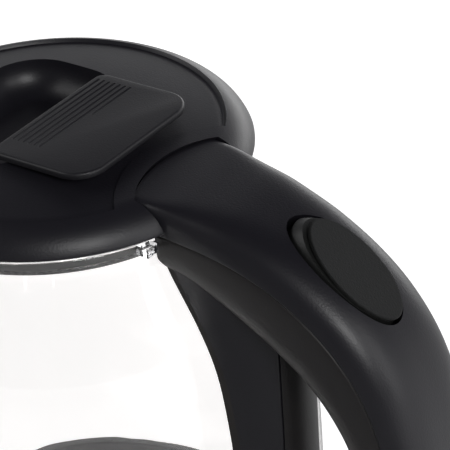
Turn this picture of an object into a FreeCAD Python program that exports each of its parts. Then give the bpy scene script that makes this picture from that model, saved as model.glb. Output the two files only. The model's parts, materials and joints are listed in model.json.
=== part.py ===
import FreeCAD, Part
import math
import os

# Cordless glass electric kettle on its power base, in millimetres.
# +Z is up, the spout points to -X and the handle to +X.
# The origin is on the kettle's axis, in the plane that the base's feet stand on.

V = FreeCAD.Vector
UP = V(0, 0, 1)
ALONG_Y = V(0, 1, 0)
CENTRE = V(0, 0, 0)
BIG = 300.0

# ---------------------------------------------------------------- driving dimensions

# power base
BASE_R = 77.0
BASE_FOOT_H = 2.0
BASE_H = 21.5
BASE_WALL = 2.4
BASE_FLOOR_T = 2.6
BASE_EDGE_R = 7.0
BASE_FOOT_R = 7.0
BASE_FOOT_COUNT = 4
BASE_FOOT_PCD_R = 60.0
BASE_BOSS_R = 4.0
BASE_BOSS_PCD_R = 52.0
BASE_SCREW_R = 1.5
SCREW_HEAD_R = 3.0
SCREW_HEAD_H = 2.0
SEAT_GAP = 0.5

# cordless connector: a tower on the base goes up into a socket under the kettle
TOWER_R = 15.5
TOWER_RISE = 11.0
TOWER_GROOVE_IN_R = 8.2
TOWER_GROOVE_OUT_R = 12.4
TOWER_BORE_R = 4.2
CONTACT_T = 0.7
SOCKET_WALL = 3.0
SOCKET_PLAY = 1.6
SOCKET_ROOF_T = 4.0
BLADE_R = 10.0
BLADE_T = 0.9
PIN_R = 2.2
CONTACT_REACH = 9.0

# cord inlet in the base's rim
INLET_R = 5.5
INLET_BORE_R = 3.6
INLET_LEN = 9.0
INLET_ANGLE = 140.0

# kettle foot
COLLAR_R = 75.0
COLLAR_H = 38.0
COLLAR_WALL = 2.6
BAND_H = 17.0
BAND_T = 0.6
BAND_RISE = 9.0
COVER_T = 3.0
COVER_SCREW_PCD_R = 46.0
PLATE_T = 1.2
PLATE_DROP = 10.0
SEAL_T = 2.6
SEAL_H = 9.0
ELEMENT_R = 44.0
ELEMENT_TUBE_R = 3.6
ELEMENT_SWEEP = 300.0
GLASS_FOOT_RISE = 30.0
LIGHT_RING_H = 4.0
SHELF_T = 3.0
SHELF_PLAY = 0.3

# glass jug
GLASS_H = 169.0
NECK_R = 56.0
BELLY_R = 75.0
GLASS_FOOT_R = 71.0
GLASS_WALL = 3.2
NECK_STRAIGHT = 7.0
SPOUT_REACH = 16.0
SPOUT_HALF_W = 17.0
SPOUT_DEPTH = 28.0

# lid
LID_R = 60.5
LID_RISE = 9.7
LID_SKIRT_DROP = 6.9
LID_SHOULDER_R = 12.0
LID_BEAD_RISE = 1.3
LID_STEP_R = 51.8
LID_STEP_W = 1.1
LID_DOME_RISE = 3.5
LID_WALL = 2.4
PLUG_R = 51.3
PLUG_DROP = 16.0
PLUG_WALL = 2.0
LID_SEAL_PLAY = 0.7
LID_SEAL_H = 1.8
WELL_X_MIN = -33.5
WELL_X_MAX = 8.0
WELL_HALF_W = 30.5
WELL_CORNER_R = 15.0
WELL_FLOOR_Z = -8.6
WELL_FLOOR_R = 9.0
LID_OPEN_GAP = 0.65
LID_POSTS = ((-20.0, 40.0), (-20.0, -40.0), (28.0, 36.0), (28.0, -36.0))
LID_POST_R = 3.6
SEAL_DROP = 14.2
FLOW_SLOTS_Y = (-8.0, 0.0, 8.0)

# filter behind the spout
FILTER_TOP = 8.0
FILTER_H = 20.0
FILTER_T = 1.2
FILTER_PLAY = 1.0
FILTER_DEPTH = 6.0
FILTER_PITCH = 4
FILTER_SLOT_W = 2.0
FILTER_RIM = 3.0
FILTER_BAR_W = 1.6

# finger tab and latch
TAB_X_MIN = -0.2
TAB_LEN = 35.4
TAB_HALF_W = 25.8
TAB_T = 2.1
TAB_EDGE_Z = 5.6
TAB_TILT = 2.6
TAB_CORNER_R = 9.0
TAB_FRONT_CORNER_R = 3.0
TAB_TRAVEL = 3.5
RIB_COUNT = 7
RIB_PITCH = 2.5
RIB_W = 0.9
RIB_DEPTH = 0.45
STEM_W = 6.0
STEM_L = 4.0
STEM_Y = 9.0
STEM_X = 24.0
SLOT_PLAY = 0.5
BAR_T = 1.5
BAR_W = 9.0
BAR_Z = -13.6
SPRING_R = 1.0
SPRING_WIRE_R = 0.25
SPRING_TURNS = 6
SPRING_END_X = 36.0

# hinge of the lid
HINGE_X = 53.0
HINGE_DROP = 5.2
HINGE_PIN_R = 1.2
HINGE_PLAY = 0.05
EAR_REACH = 2.6
ROOT_HALF_W = 19.4
ROOT_FRONT_X = 40.7
ROOT_CORNER_X = 47.3
ROOT_TOP_Z = 0.7
SIDE_GAP = 0.45

# handle: outer (crown) and inner (palm) points of each cross-section, from lid to foot
# and its half width; x is measured from the kettle's axis and z from the lid's plane
HANDLE_STATIONS = (
    ((36.0, 0.7), (38.0, -23.0), 19.4, 8.0),
    ((48.0, 0.7), (50.0, -23.2), 19.4, 8.0),
    ((60.0, 0.5), (61.5, -24.5), 19.4, 6.6),
    ((76.0, -0.9), (73.0, -30.0), 19.5, 4.6),
    ((92.0, -5.3), (80.5, -34.5), 19.5, 3.6),
    ((106.0, -12.6), (89.0, -39.5), 19.4, 3.3),
    ((117.0, -21.8), (97.5, -46.0), 19.1, 3.2),
    ((126.0, -34.0), (104.6, -54.5), 18.7, 3.1),
    ((132.0, -49.0), (110.0, -64.8), 18.2, 3.0),
    ((135.8, -68.0), (113.4, -78.5), 17.7, 3.0),
    ((137.3, -90.0), (114.8, -95.0), 17.2, 3.0),
    ((136.2, -113.0), (113.6, -112.0), 16.7, 3.0),
    ((131.2, -134.5), (109.6, -127.5), 16.3, 3.0),
    ((121.0, -152.5), (101.5, -140.5), 16.0, 3.1),
    ((106.0, -166.0), (90.5, -150.0), 15.8, 3.3),
    ((84.0, -171.5), (79.0, -153.5), 15.6, 4.0),
)
HANDLE_WALL = 2.5
PARTING_DEPTH = 9.3
PARTING_GAP = 0.25
SECTION_POINTS = 24
FINE_STEPS = 720
SEAM_ANGLE = math.radians(60)

# strap between the handle and the glass
STRAP_TOP = -11.0
STRAP_BOTTOM = -167.0
STRAP_HALF_W = 17.5
STRAP_STRAIGHT_X = 64.0
STRAP_NOSE = 24.5
GASKET_T = 2.0
GLASS_PLAY = 0.35
COVER_X = 85.5
CLIP_Y = 22.6
CLIP_W = 4.0
CLIP_REACH = 1.2
CLIP_Z = -9.9
CLIP_H = 3.0
STRAP_BACK_X = 30.0
CHANNEL_HALF_W = 8.0
CHANNEL_SKIN = 0.8
CHANNEL_FROM_FOOT = 20.0
CHANNEL_FROM_LID = 50.0
TUBE_END_GAP = 2.0
WIRE_R = 0.9
WIRE_Y = 6.0
COVER_GAP = 0.2
STEAM_TUBE_R = 2.4
STEAM_TUBE_WALL = 0.8

# rocker switch on the handle
HOLE_X = 103.7
HOLE_Z = -12.2
HOLE_TILT = 31.6
HOLE_A = 20.5
HOLE_B = 10.4
FACE_START = -14.6
FACE_END = 19.5
FACE_LIFT = 3.9
FACE_SINK = -0.5
FACE_B = 9.1
BUTTON_PLAY_A = 1.6
BUTTON_PLAY_B = 0.6
BUTTON_SKIRT = 3.0
PIVOT_S = 1.0
PIVOT_N = -10.0
SWITCH_PIN_R = 1.5
SWITCH_PLAY = 0.05
FINGER_LEN = 5.0
FINGER_W = 3.0
DISH_DEPTH = 0.9
CHEEK_IN_Y = 11.6
CHEEK_OUT_Y = 17.2
CHEEK_HALF_L = 4.0
CHEEK_DROP = 3.5
CHEEK_RISE = 7.5
CHEEK_PLAY = 0.25

# parts of the switch inside the handle
SLIDER_L = 14.0
SLIDER_W = 9.0
SLIDER_H = 4.0
SLIDER_FLOOR = 1.8
WEB_HALF_L = 4.0
WEB_HALF_W = 9.4
HUB_R = 4.0
HUB_HALF_W = 10.8
HOUSE_HALF_W = 9.0
HOUSE_MARGIN = 5.0
HOUSE_H = 4.4
SLIDER_PLAY = 0.6

# ---------------------------------------------------------------- derived places

BASE_TOP = BASE_FOOT_H + BASE_H
KETTLE_Z = BASE_TOP + SEAT_GAP
GLASS_Z = KETTLE_Z + GLASS_FOOT_RISE
LIP_Z = GLASS_Z + GLASS_H
LID_Z = LIP_Z + LID_RISE
PLATE_Z = GLASS_Z + 3.0
HINGE_Z = LID_Z - HINGE_DROP
NECK_BORE_R = NECK_R - GLASS_WALL
SHAPES = {}


# ---------------------------------------------------------------- small tools

def box(x0, x1, y0, y1, z0, z1):
    return Part.makeBox(x1 - x0, y1 - y0, z1 - z0, V(x0, y0, z0))


def cyl(r, z0, z1, x=0.0, y=0.0):
    return Part.makeCylinder(r, z1 - z0, V(x, y, z0), UP)


def tube(r_in, r_out, z0, z1, x=0.0, y=0.0):
    return cyl(r_out, z0, z1, x, y).cut(cyl(r_in, z0 - 1, z1 + 1, x, y))


def cyl_y(r, y0, y1, x, z):
    return Part.makeCylinder(r, y1 - y0, V(x, y0, z), ALONG_Y)


def spin(points):
    """Turned solid: a polygon of (radius, height) points swung round the kettle's axis."""
    corners = [V(r, 0, z) for r, z in points]
    face = Part.Face(Part.makePolygon(corners + corners[:1]))
    return face.revolve(CENTRE, UP, 360)


def spline(points):
    curve = Part.BSplineCurve()
    curve.interpolate(points)
    return curve.toShape()


def spin_edges(edges):
    face = Part.Face(Part.Wire(Part.__sortEdges__(edges)))
    solid = face.revolve(CENTRE, UP, 360)
    return solid if solid.ShapeType == "Solid" else Part.Solid(solid)


def around(count, radius, first=0.0):
    step = 2 * math.pi / count
    return [(radius * math.cos(first + i * step), radius * math.sin(first + i * step))
            for i in range(count)]


def merged(shapes):
    """Joins shapes into one, or keeps separate solids as a group."""
    result = shapes[0]
    if len(shapes) > 1:
        result = result.multiFuse(shapes[1:])
    return result.removeSplitter()


def group(shapes):
    return Part.makeCompound(shapes)


def keep_largest(shape):
    return max(shape.Solids, key=lambda s: s.Volume)


def add(name, shape):
    SHAPES[name] = shape


# ---------------------------------------------------------------- power base

def base_outline(inset, floor_z):
    top = BASE_TOP - inset
    r = BASE_R - inset
    edge = max(BASE_EDGE_R - inset, 0.5)
    body = spin([(0, floor_z), (r, floor_z), (r, top), (0, top)])
    rim = [e for e in body.Edges if abs(e.BoundBox.ZMin - top) < 1e-6 and e.BoundBox.XMax > r - 1]
    return body.makeFillet(edge, rim[:1])


def base_inlet_place():
    a = math.radians(INLET_ANGLE)
    return V(math.cos(a), math.sin(a), 0)


def make_base():
    floor_top = BASE_FOOT_H + BASE_FLOOR_T
    out = base_inlet_place()
    inlet_z = BASE_FOOT_H + BASE_FLOOR_T + INLET_R + 0.6
    inlet_start = out * (BASE_R - INLET_LEN + 1.0) + V(0, 0, inlet_z)
    inlet_hole = Part.makeCylinder(INLET_R, INLET_LEN + 4, inlet_start - out * 2, out)

    boss_places = around(4, BASE_BOSS_PCD_R, math.radians(10))
    screw_bores = [cyl(BASE_SCREW_R, BASE_FOOT_H - 1, BASE_TOP - 6, x, y) for x, y in boss_places]
    shell = base_outline(0.0, floor_top).cut(base_outline(BASE_WALL, floor_top - 1))
    bosses = [cyl(BASE_BOSS_R, floor_top, BASE_TOP - 1, x, y) for x, y in boss_places]
    shell = merged([shell] + bosses)
    shell = shell.cut(group(screw_bores + [cyl(TOWER_R + 0.2, 0, BASE_TOP + 1), inlet_hole]))
    add("base_upper_shell", shell)

    floor = cyl(BASE_R - 0.6, BASE_FOOT_H, floor_top)
    collar = tube(TOWER_R + 0.5, TOWER_R + 3, floor_top - 0.5, floor_top + 5)
    floor = merged([floor, collar])
    heads = [cyl(SCREW_HEAD_R + 0.3, 0, BASE_FOOT_H + SCREW_HEAD_H - 0.8, x, y) for x, y in boss_places]
    floor = floor.cut(group(heads + screw_bores))
    add("base_lower_cover", floor)

    feet_at = around(BASE_FOOT_COUNT, BASE_FOOT_PCD_R, math.radians(45)) + [(0.0, 0.0)]
    add("base_feet", group([cyl(BASE_FOOT_R, 0, BASE_FOOT_H, x, y) for x, y in feet_at]))
    screws = []
    for x, y in boss_places:
        head = cyl(SCREW_HEAD_R, BASE_FOOT_H - 0.9, BASE_FOOT_H + SCREW_HEAD_H - 0.9, x, y)
        shank = cyl(BASE_SCREW_R, BASE_FOOT_H + 0.5, BASE_TOP - 7, x, y)
        screws.append(merged([head, shank]))
    add("base_screws", group(screws))

    tower_top = BASE_TOP + TOWER_RISE
    tower_floor = floor_top
    groove_floor = BASE_TOP - 3.0
    tower = cyl(TOWER_R, tower_floor, tower_top)
    tower = tower.cut(tube(TOWER_GROOVE_IN_R, TOWER_GROOVE_OUT_R, groove_floor, tower_top + 1))
    tower = tower.cut(cyl(TOWER_BORE_R, groove_floor, tower_top + 1))
    add("base_connector_body", tower)
    contact_top = tower_top - 2.0
    add("base_contact_sleeve", tube(TOWER_BORE_R - CONTACT_T, TOWER_BORE_R, groove_floor, contact_top))
    add("base_contact_ring",
        tube(TOWER_GROOVE_OUT_R - CONTACT_T, TOWER_GROOVE_OUT_R, groove_floor, contact_top))

    inlet = Part.makeCylinder(INLET_R, INLET_LEN, inlet_start, out)
    lip = Part.makeCylinder(INLET_R + 1.2, 1.2, inlet_start + out * (INLET_LEN - 6), out)
    bore = Part.makeCylinder(INLET_BORE_R, INLET_LEN + 2, inlet_start - out, out)
    add("base_cord_inlet", merged([inlet, lip.common(inlet)]).cut(bore))

    block = box(-11, 11, -36, -24, floor_top, floor_top + 8)
    wells = [cyl(2.2, floor_top + 3, floor_top + 9, x, -30) for x in (-7, 0, 7)]
    add("base_terminal_block", block.cut(group(wells)))


# ---------------------------------------------------------------- connector under the kettle

def make_socket():
    tower_top = BASE_TOP + TOWER_RISE
    cavity_r = TOWER_R + SOCKET_PLAY
    cavity_top = tower_top + SOCKET_PLAY
    body = cyl(cavity_r + SOCKET_WALL, KETTLE_Z + 0.6, cavity_top + SOCKET_ROOF_T)
    body = body.cut(cyl(cavity_r, KETTLE_Z - 1, cavity_top))
    reach = cavity_top - CONTACT_REACH - SOCKET_PLAY
    add("kettle_socket", body)
    add("socket_contact_pin", cyl(PIN_R, reach, cavity_top))
    add("socket_contact_ring", tube(BLADE_R - BLADE_T / 2, BLADE_R + BLADE_T / 2, reach, cavity_top))
    return cavity_r + SOCKET_WALL, cavity_top + SOCKET_ROOF_T


# ---------------------------------------------------------------- glass

# how far the wall has swelled from neck to belly at a share of the jug's height below the lip
GLASS_CURVE = ((0.0907, 0.21), (0.1619, 0.547), (0.2383, 0.784), (0.3202, 0.893), (0.400, 0.955), (0.534, 1.0))
FOOT_CURVE = ((0.74, 0.0), (0.87, 0.40), (1.0, 1.0))


def glass_points(inset):
    """Points of the jug's wall from the end of the straight neck to the foot."""
    swell = BELLY_R - NECK_R
    shrink = BELLY_R - GLASS_FOOT_R
    points = [(NECK_R, LIP_Z - NECK_STRAIGHT)]
    points += [(NECK_R + swell * part, LIP_Z - GLASS_H * down) for down, part in GLASS_CURVE]
    points += [(BELLY_R - shrink * part, LIP_Z - GLASS_H * down) for down, part in FOOT_CURVE]
    return [V(r - inset, 0, z) for r, z in points]


def glass_body(inset, top, bottom_extra=0.0):
    """Solid of revolution bounded by the jug's wall moved inwards by inset."""
    wall = glass_points(inset)
    first = V(NECK_R - inset, 0, top)
    foot = V(wall[-1].x, 0, wall[-1].z - bottom_extra)
    edges = [Part.makeLine(V(0, 0, top), first), Part.makeLine(first, wall[0]), spline(wall)]
    if bottom_extra:
        edges.append(Part.makeLine(wall[-1], foot))
    edges.append(Part.makeLine(foot, V(0, 0, foot.z)))
    edges.append(Part.makeLine(V(0, 0, foot.z), V(0, 0, top)))
    return spin_edges(edges)


def spout_body(inset, top):
    """Pulled-out pouring lip: a loft from a wide opening at the rim to a narrow root on the wall."""
    wires = []
    rim_x = -(NECK_R - 2.0)
    sections = ((top, rim_x, SPOUT_REACH + 2.0, SPOUT_HALF_W), (LIP_Z - SPOUT_DEPTH, rim_x + 6.0, 8.0, 8.6))
    for z, x, a, b in sections:
        a -= inset
        b -= inset
        major = V(x - a, 0, z)
        minor = V(x, b, z)
        if a > b:
            ellipse = Part.Ellipse(major, minor, V(x, 0, z))
        else:
            ellipse = Part.Ellipse(minor, major, V(x, 0, z))
        wires.append(Part.Wire([ellipse.toShape()]))
    return Part.makeLoft(wires, True, True)


def make_glass():
    outer = glass_body(0.0, LIP_Z)
    inner = glass_body(GLASS_WALL, LIP_Z + 1, 1.0)
    outer = outer.fuse(spout_body(0.0, LIP_Z))
    inner = inner.fuse(spout_body(GLASS_WALL, LIP_Z))
    glass = outer.cut(inner)
    add("glass_jug", keep_largest(glass))


# ---------------------------------------------------------------- kettle foot

def make_foot(socket_r, socket_top):
    cover_top = KETTLE_Z + COVER_T
    collar_top = KETTLE_Z + COLLAR_H
    glass_clear = glass_body(-GLASS_PLAY, LIP_Z, 1.0)
    collar = tube(COLLAR_R - COLLAR_WALL, COLLAR_R, KETTLE_Z, collar_top)
    shelf_r = GLASS_FOOT_R - GLASS_WALL + SHELF_PLAY
    shelf = tube(shelf_r, COLLAR_R - 1.0, GLASS_Z - LIGHT_RING_H - SHELF_T, GLASS_Z - LIGHT_RING_H)
    lip = tube(GLASS_FOOT_R - 2.0, COLLAR_R - 0.5, collar_top - 3.0, collar_top)
    collar = merged([collar, shelf, lip]).cut(glass_clear)
    band_z = KETTLE_Z + BAND_RISE
    groove = tube(COLLAR_R - BAND_T, COLLAR_R + 5, band_z, band_z + BAND_H)
    add("bottom_collar", collar.cut(groove))
    band = tube(COLLAR_R - BAND_T, COLLAR_R + 0.2, band_z, band_z + BAND_H)
    add("collar_band", band)

    add("light_ring", tube(GLASS_FOOT_R - GLASS_WALL, GLASS_FOOT_R, GLASS_Z - LIGHT_RING_H, GLASS_Z))

    glass_in_r = GLASS_FOOT_R - GLASS_WALL
    plate_r = glass_in_r - SEAL_T
    rim = tube(plate_r - PLATE_T, plate_r, PLATE_Z - PLATE_DROP, PLATE_Z)
    disc = cyl(plate_r, PLATE_Z, PLATE_Z + PLATE_T)
    plate = merged([disc, rim])
    add("heater_plate", plate)
    seal = tube(plate_r, glass_in_r, PLATE_Z + PLATE_T - SEAL_H, PLATE_Z + PLATE_T)
    add("glass_seal", seal.common(glass_body(GLASS_WALL, LIP_Z, 10.0)))

    ring = Part.makeTorus(ELEMENT_R, ELEMENT_TUBE_R, V(0, 0, PLATE_Z - ELEMENT_TUBE_R), UP, 0, 360,
                          ELEMENT_SWEEP)
    ring.rotate(CENTRE, UP, 30)
    ends = []
    for turn in (30.0, 30.0 + ELEMENT_SWEEP):
        a = math.radians(turn)
        x, y = ELEMENT_R * math.cos(a), ELEMENT_R * math.sin(a)
        ends.append(cyl(1.6, PLATE_Z - ELEMENT_TUBE_R - 12, PLATE_Z - ELEMENT_TUBE_R, x, y))
    add("heating_element", merged([ring] + ends))

    board_z = socket_top + 1.0
    board = box(-24, 24, -18, 18, board_z, board_z + 1.6)
    parts = [cyl(9.5, board_z + 1.6, PLATE_Z - 0.5, x, 0) for x in (-12, 12)]
    add("thermostat_control", merged([board] + parts))

    cover = cyl(COLLAR_R - COLLAR_WALL - 0.2, KETTLE_Z, cover_top)
    cover = cover.cut(cyl(socket_r + 0.5, KETTLE_Z - 1, cover_top + 1))
    places = around(3, COVER_SCREW_PCD_R, math.radians(30))
    posts = [tube(BASE_SCREW_R, 4.0, cover_top - 0.2, cover_top + 9, x, y) for x, y in places]
    sinks = [cyl(SCREW_HEAD_R + 0.3, KETTLE_Z - 1, KETTLE_Z + 1.6, x, y) for x, y in places]
    bores = [cyl(BASE_SCREW_R, KETTLE_Z - 1, cover_top + 10, x, y) for x, y in places]
    cover = merged([cover] + posts).cut(group(sinks + bores))
    add("bottom_cover", cover)
    screws = []
    for x, y in places:
        head = cyl(SCREW_HEAD_R, KETTLE_Z + 0.2, KETTLE_Z + 1.6, x, y)
        screws.append(merged([head, cyl(BASE_SCREW_R, KETTLE_Z + 1.5, cover_top + 8, x, y)]))
    add("bottom_cover_screws", group(screws))


# ---------------------------------------------------------------- handle

def evenly_spaced(outline, count):
    """Points at equal distances round a closed outline."""
    run = [0.0]
    for (u0, v0), (u1, v1) in zip(outline, outline[1:]):
        run.append(run[-1] + math.hypot(u1 - u0, v1 - v0))
    picked = []
    at = 0
    for i in range(count):
        goal = run[-1] * i / count
        while run[at + 1] < goal:
            at += 1
        share = (goal - run[at]) / (run[at + 1] - run[at])
        (u0, v0), (u1, v1) = outline[at], outline[at + 1]
        picked.append((u0 + (u1 - u0) * share, v0 + (v1 - v0) * share))
    return picked


def section(crown, palm, half_w, power, inset):
    """Points round a section across the handle, which starts and ends on the palm side."""
    cx, cz = (crown[0] + palm[0]) / 2, (crown[1] + palm[1]) / 2
    dx, dz = crown[0] - palm[0], crown[1] - palm[1]
    length = math.hypot(dx, dz)
    nx, nz = dx / length, dz / length
    half_d = length / 2 - inset
    outline = []
    for i in range(FINE_STEPS + 1):
        a = 2 * math.pi * i / FINE_STEPS - SEAM_ANGLE
        c, s = math.cos(a), math.sin(a)
        u = math.copysign(abs(c) ** (2 / power), c) * (half_w - inset)
        v = math.copysign(abs(s) ** (2 / power), s) * half_d
        outline.append((u, v))
    points = []
    for u, v in evenly_spaced(outline, SECTION_POINTS):
        points.append(V(cx + nx * v, u, LID_Z + cz + nz * v))
    return points + points[:1]


def handle_body(inset, stations):
    """Solid through the cross-sections: one smooth skin, closed by a flat face at each end."""
    rows = [section(crown, palm, w, power, inset) for crown, palm, w, power in stations]
    skin = Part.BSplineSurface()
    skin.interpolate(rows)
    first, last = skin.bounds()[0], skin.bounds()[1]
    caps = [Part.Face(Part.Wire([skin.uIso(end).toShape()])) for end in (first, last)]
    shell = Part.Shell([skin.toShape()] + caps)
    shell.sewShape()
    solid = Part.Solid(shell)
    if solid.Volume < 0:
        solid.reverse()
    return solid


def parting_points(depth):
    points = []
    for crown, palm, _, _ in HANDLE_STATIONS:
        dx, dz = palm[0] - crown[0], palm[1] - crown[1]
        length = math.hypot(dx, dz)
        points.append(V(crown[0] + dx / length * depth, 0, LID_Z + crown[1] + dz / length * depth))
    return points


def outer_side(depth):
    """Everything on the outer side of the handle's parting surface."""
    points = parting_points(depth)
    start, end = points[0], points[-1]
    before = V(start.x - 60, 0, start.z)
    corners = [V(end.x, 0, end.z - 60), V(BIG, 0, end.z - 60), V(BIG, 0, LID_Z + 60), V(before.x, 0, LID_Z + 60)]
    edges = [Part.makeLine(before, start), spline(points), Part.makeLine(end, corners[0])]
    edges += [Part.makeLine(corners[i], corners[i + 1]) for i in range(3)]
    edges.append(Part.makeLine(corners[3], before))
    face = Part.Face(Part.Wire(edges))
    return slab(face, 40)


def slab(face, half):
    moved = face.copy()
    moved.translate(V(0, -half, 0))
    return moved.extrude(V(0, 2 * half, 0))


def root_barrel(extra, half_w):
    """Round-bellied solid about the hinge line: the lid swings round it with a constant gap."""
    rise = ROOT_TOP_Z + HINGE_DROP
    r_mid = math.hypot(HINGE_X - ROOT_FRONT_X, rise) + extra
    r_end = math.hypot(HINGE_X - ROOT_CORNER_X, rise) + extra
    edges = [
        Part.makeLine(V(HINGE_X, -half_w, HINGE_Z), V(HINGE_X - r_end, -half_w, HINGE_Z)),
        Part.Arc(V(HINGE_X - r_end, -half_w, HINGE_Z), V(HINGE_X - r_mid, 0, HINGE_Z),
                 V(HINGE_X - r_end, half_w, HINGE_Z)).toShape(),
        Part.makeLine(V(HINGE_X - r_end, half_w, HINGE_Z), V(HINGE_X, half_w, HINGE_Z)),
        Part.makeLine(V(HINGE_X, half_w, HINGE_Z), V(HINGE_X, -half_w, HINGE_Z)),
    ]
    face = Part.Face(Part.Wire(edges))
    return face.revolve(V(HINGE_X, 0, HINGE_Z), ALONG_Y, 360)


def handle_front():
    """What the handle's end may fill: the round belly about the hinge, and everything behind it."""
    half = ROOT_HALF_W + 1.0
    barrel = root_barrel(0.0, half)
    rest = box(HINGE_X, BIG, -half, half, 0, LID_Z + 10)
    return merged([barrel, rest])


def switch_point(s, n, y=0.0):
    """Point at s along the handle's slope and n above it, in the switch's own plane."""
    a = math.radians(HOLE_TILT)
    x = HOLE_X + s * math.cos(a) + n * math.sin(a)
    z = HOLE_Z - s * math.sin(a) + n * math.cos(a)
    return V(x, y, LID_Z + z)


def switch_ellipse(s_mid, n_mid, tilt, a, b):
    """Ellipse wire whose long axis runs down the handle, tilted from the switch's plane."""
    t = math.radians(tilt)
    middle = switch_point(s_mid, n_mid)
    end = switch_point(s_mid + a * math.cos(t), n_mid - a * math.sin(t))
    side = V(middle.x, b, middle.z)
    return Part.Wire([Part.Ellipse(end, side, middle).toShape()])


def switch_hole():
    wires = [switch_ellipse(0, n, 0, HOLE_A, HOLE_B) for n in (12, -9)]
    return Part.makeLoft(wires, True, True)


def switch_boxed(s0, s1, y0, y1, n0, n1):
    """Box in the switch's own directions."""
    corners = [switch_point(s, n) for s, n in ((s0, n0), (s1, n0), (s1, n1), (s0, n1))]
    face = Part.Face(Part.makePolygon(corners + corners[:1]))
    face.translate(V(0, y0, 0))
    return face.extrude(V(0, y1 - y0, 0))


def switch_cheeks(play):
    """Blocks inside the handle that hold the ends of the rocker's pin."""
    blocks = []
    for side in (-1, 1):
        y_in, y_out = side * (CHEEK_IN_Y - play), side * (CHEEK_OUT_Y + play)
        blocks.append(switch_boxed(PIVOT_S - CHEEK_HALF_L - play, PIVOT_S + CHEEK_HALF_L + play,
                                   min(y_in, y_out), max(y_in, y_out),
                                   PIVOT_N - CHEEK_DROP - play, PIVOT_N + CHEEK_RISE))
    return blocks


def make_handle(glass_clear, gasket_clear):
    full = handle_body(0.0, HANDLE_STATIONS).common(handle_front())
    hollow = handle_body(HANDLE_WALL, HANDLE_STATIONS[3:-1])
    outer_half = outer_side(PARTING_DEPTH)
    under_half = outer_side(PARTING_DEPTH + PARTING_GAP)

    pin_hole = cyl_y(HINGE_PIN_R, -40, 40, HINGE_X, HINGE_Z)
    outer = full.common(outer_half)
    outer = outer.cut(hollow).cut(switch_hole()).cut(pin_hole).cut(glass_clear)
    pivot = switch_point(PIVOT_S, PIVOT_N)
    cheeks = [cheek.common(full) for cheek in switch_cheeks(0.0)]
    outer = merged([keep_largest(outer)] + cheeks)
    outer = outer.cut(cyl_y(SWITCH_PIN_R, -40, 40, pivot.x, pivot.z).common(hollow))
    add("handle_outer_shell", keep_largest(outer))

    neck_side = box(0, NECK_R + GLASS_PLAY + GASKET_T, -BIG, BIG, LIP_Z - 5, BIG)
    inner = full.cut(under_half).cut(hollow).cut(gasket_clear).cut(neck_side)
    inner = inner.cut(group(switch_cheeks(CHEEK_PLAY)))
    add("handle_inner_shell", keep_largest(inner))
    add("switch_pin", cyl_y(SWITCH_PIN_R, -16.4, 16.4, pivot.x, pivot.z))
    return full


def strap_plan(z):
    """Outline of the strap seen from above: straight sides and a half-ellipse nose."""
    half = STRAP_HALF_W
    low, high = V(STRAP_STRAIGHT_X, -half, z), V(STRAP_STRAIGHT_X, half, z)
    nose = V(STRAP_STRAIGHT_X + STRAP_NOSE, 0, z)
    ellipse = Part.Ellipse(nose, high, V(STRAP_STRAIGHT_X, 0, z))
    curve = Part.ArcOfEllipse(ellipse, -math.pi / 2, math.pi / 2).toShape()
    back = [V(STRAP_BACK_X, half, z), V(STRAP_BACK_X, -half, z)]
    edges = [curve, Part.makeLine(high, back[0]), Part.makeLine(back[0], back[1]), Part.makeLine(back[1], low)]
    return Part.Face(Part.Wire(Part.__sortEdges__(edges)))


def make_strap(full, glass_clear, gasket_clear):
    z0, z1 = LID_Z + STRAP_BOTTOM, LID_Z + STRAP_TOP
    whole = strap_plan(z0).extrude(V(0, 0, z1 - z0))
    gasket = whole.cut(glass_clear).common(gasket_clear)
    collar_top = KETTLE_Z + COLLAR_H
    foot_clear = cyl(COLLAR_R + 0.5, 0, collar_top + 0.3)
    root_clear = box(0, STRAP_STRAIGHT_X, -40, 40, LIP_Z + 0.3, BIG)
    gasket = gasket.cut(foot_clear).cut(root_clear)
    add("strap_gasket", keep_largest(gasket))

    strap = whole.cut(gasket_clear).cut(foot_clear).cut(root_clear).cut(full)
    channel_x = (BELLY_R + GLASS_PLAY + GASKET_T + CHANNEL_SKIN, COVER_X - 2 * CHANNEL_SKIN)
    channel_z = (z0 + CHANNEL_FROM_FOOT, LID_Z - CHANNEL_FROM_LID)
    strap = strap.cut(box(channel_x[0], channel_x[1], -CHANNEL_HALF_W, CHANNEL_HALF_W,
                          channel_z[0], channel_z[1]))
    cover_tool = box(COVER_X, BIG, -40, 40, z0 - 50, z1 + 50)
    body_tool = box(COVER_X - COVER_GAP, BIG, -40, 40, z0 - 50, z1 + 50)
    add("strap_cover", keep_largest(strap.common(cover_tool)))
    add("handle_strap", keep_largest(strap.cut(body_tool)))
    tube_x = (channel_x[0] + channel_x[1]) / 2
    tube_z = (channel_z[0] + TUBE_END_GAP, channel_z[1] - TUBE_END_GAP)
    add("steam_tube", tube(STEAM_TUBE_R - STEAM_TUBE_WALL, STEAM_TUBE_R, tube_z[0], tube_z[1], tube_x, 0))
    wires = [cyl(WIRE_R, tube_z[0], tube_z[1], tube_x, y) for y in (-WIRE_Y, WIRE_Y)]
    add("handle_wires", group(wires))


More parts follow.
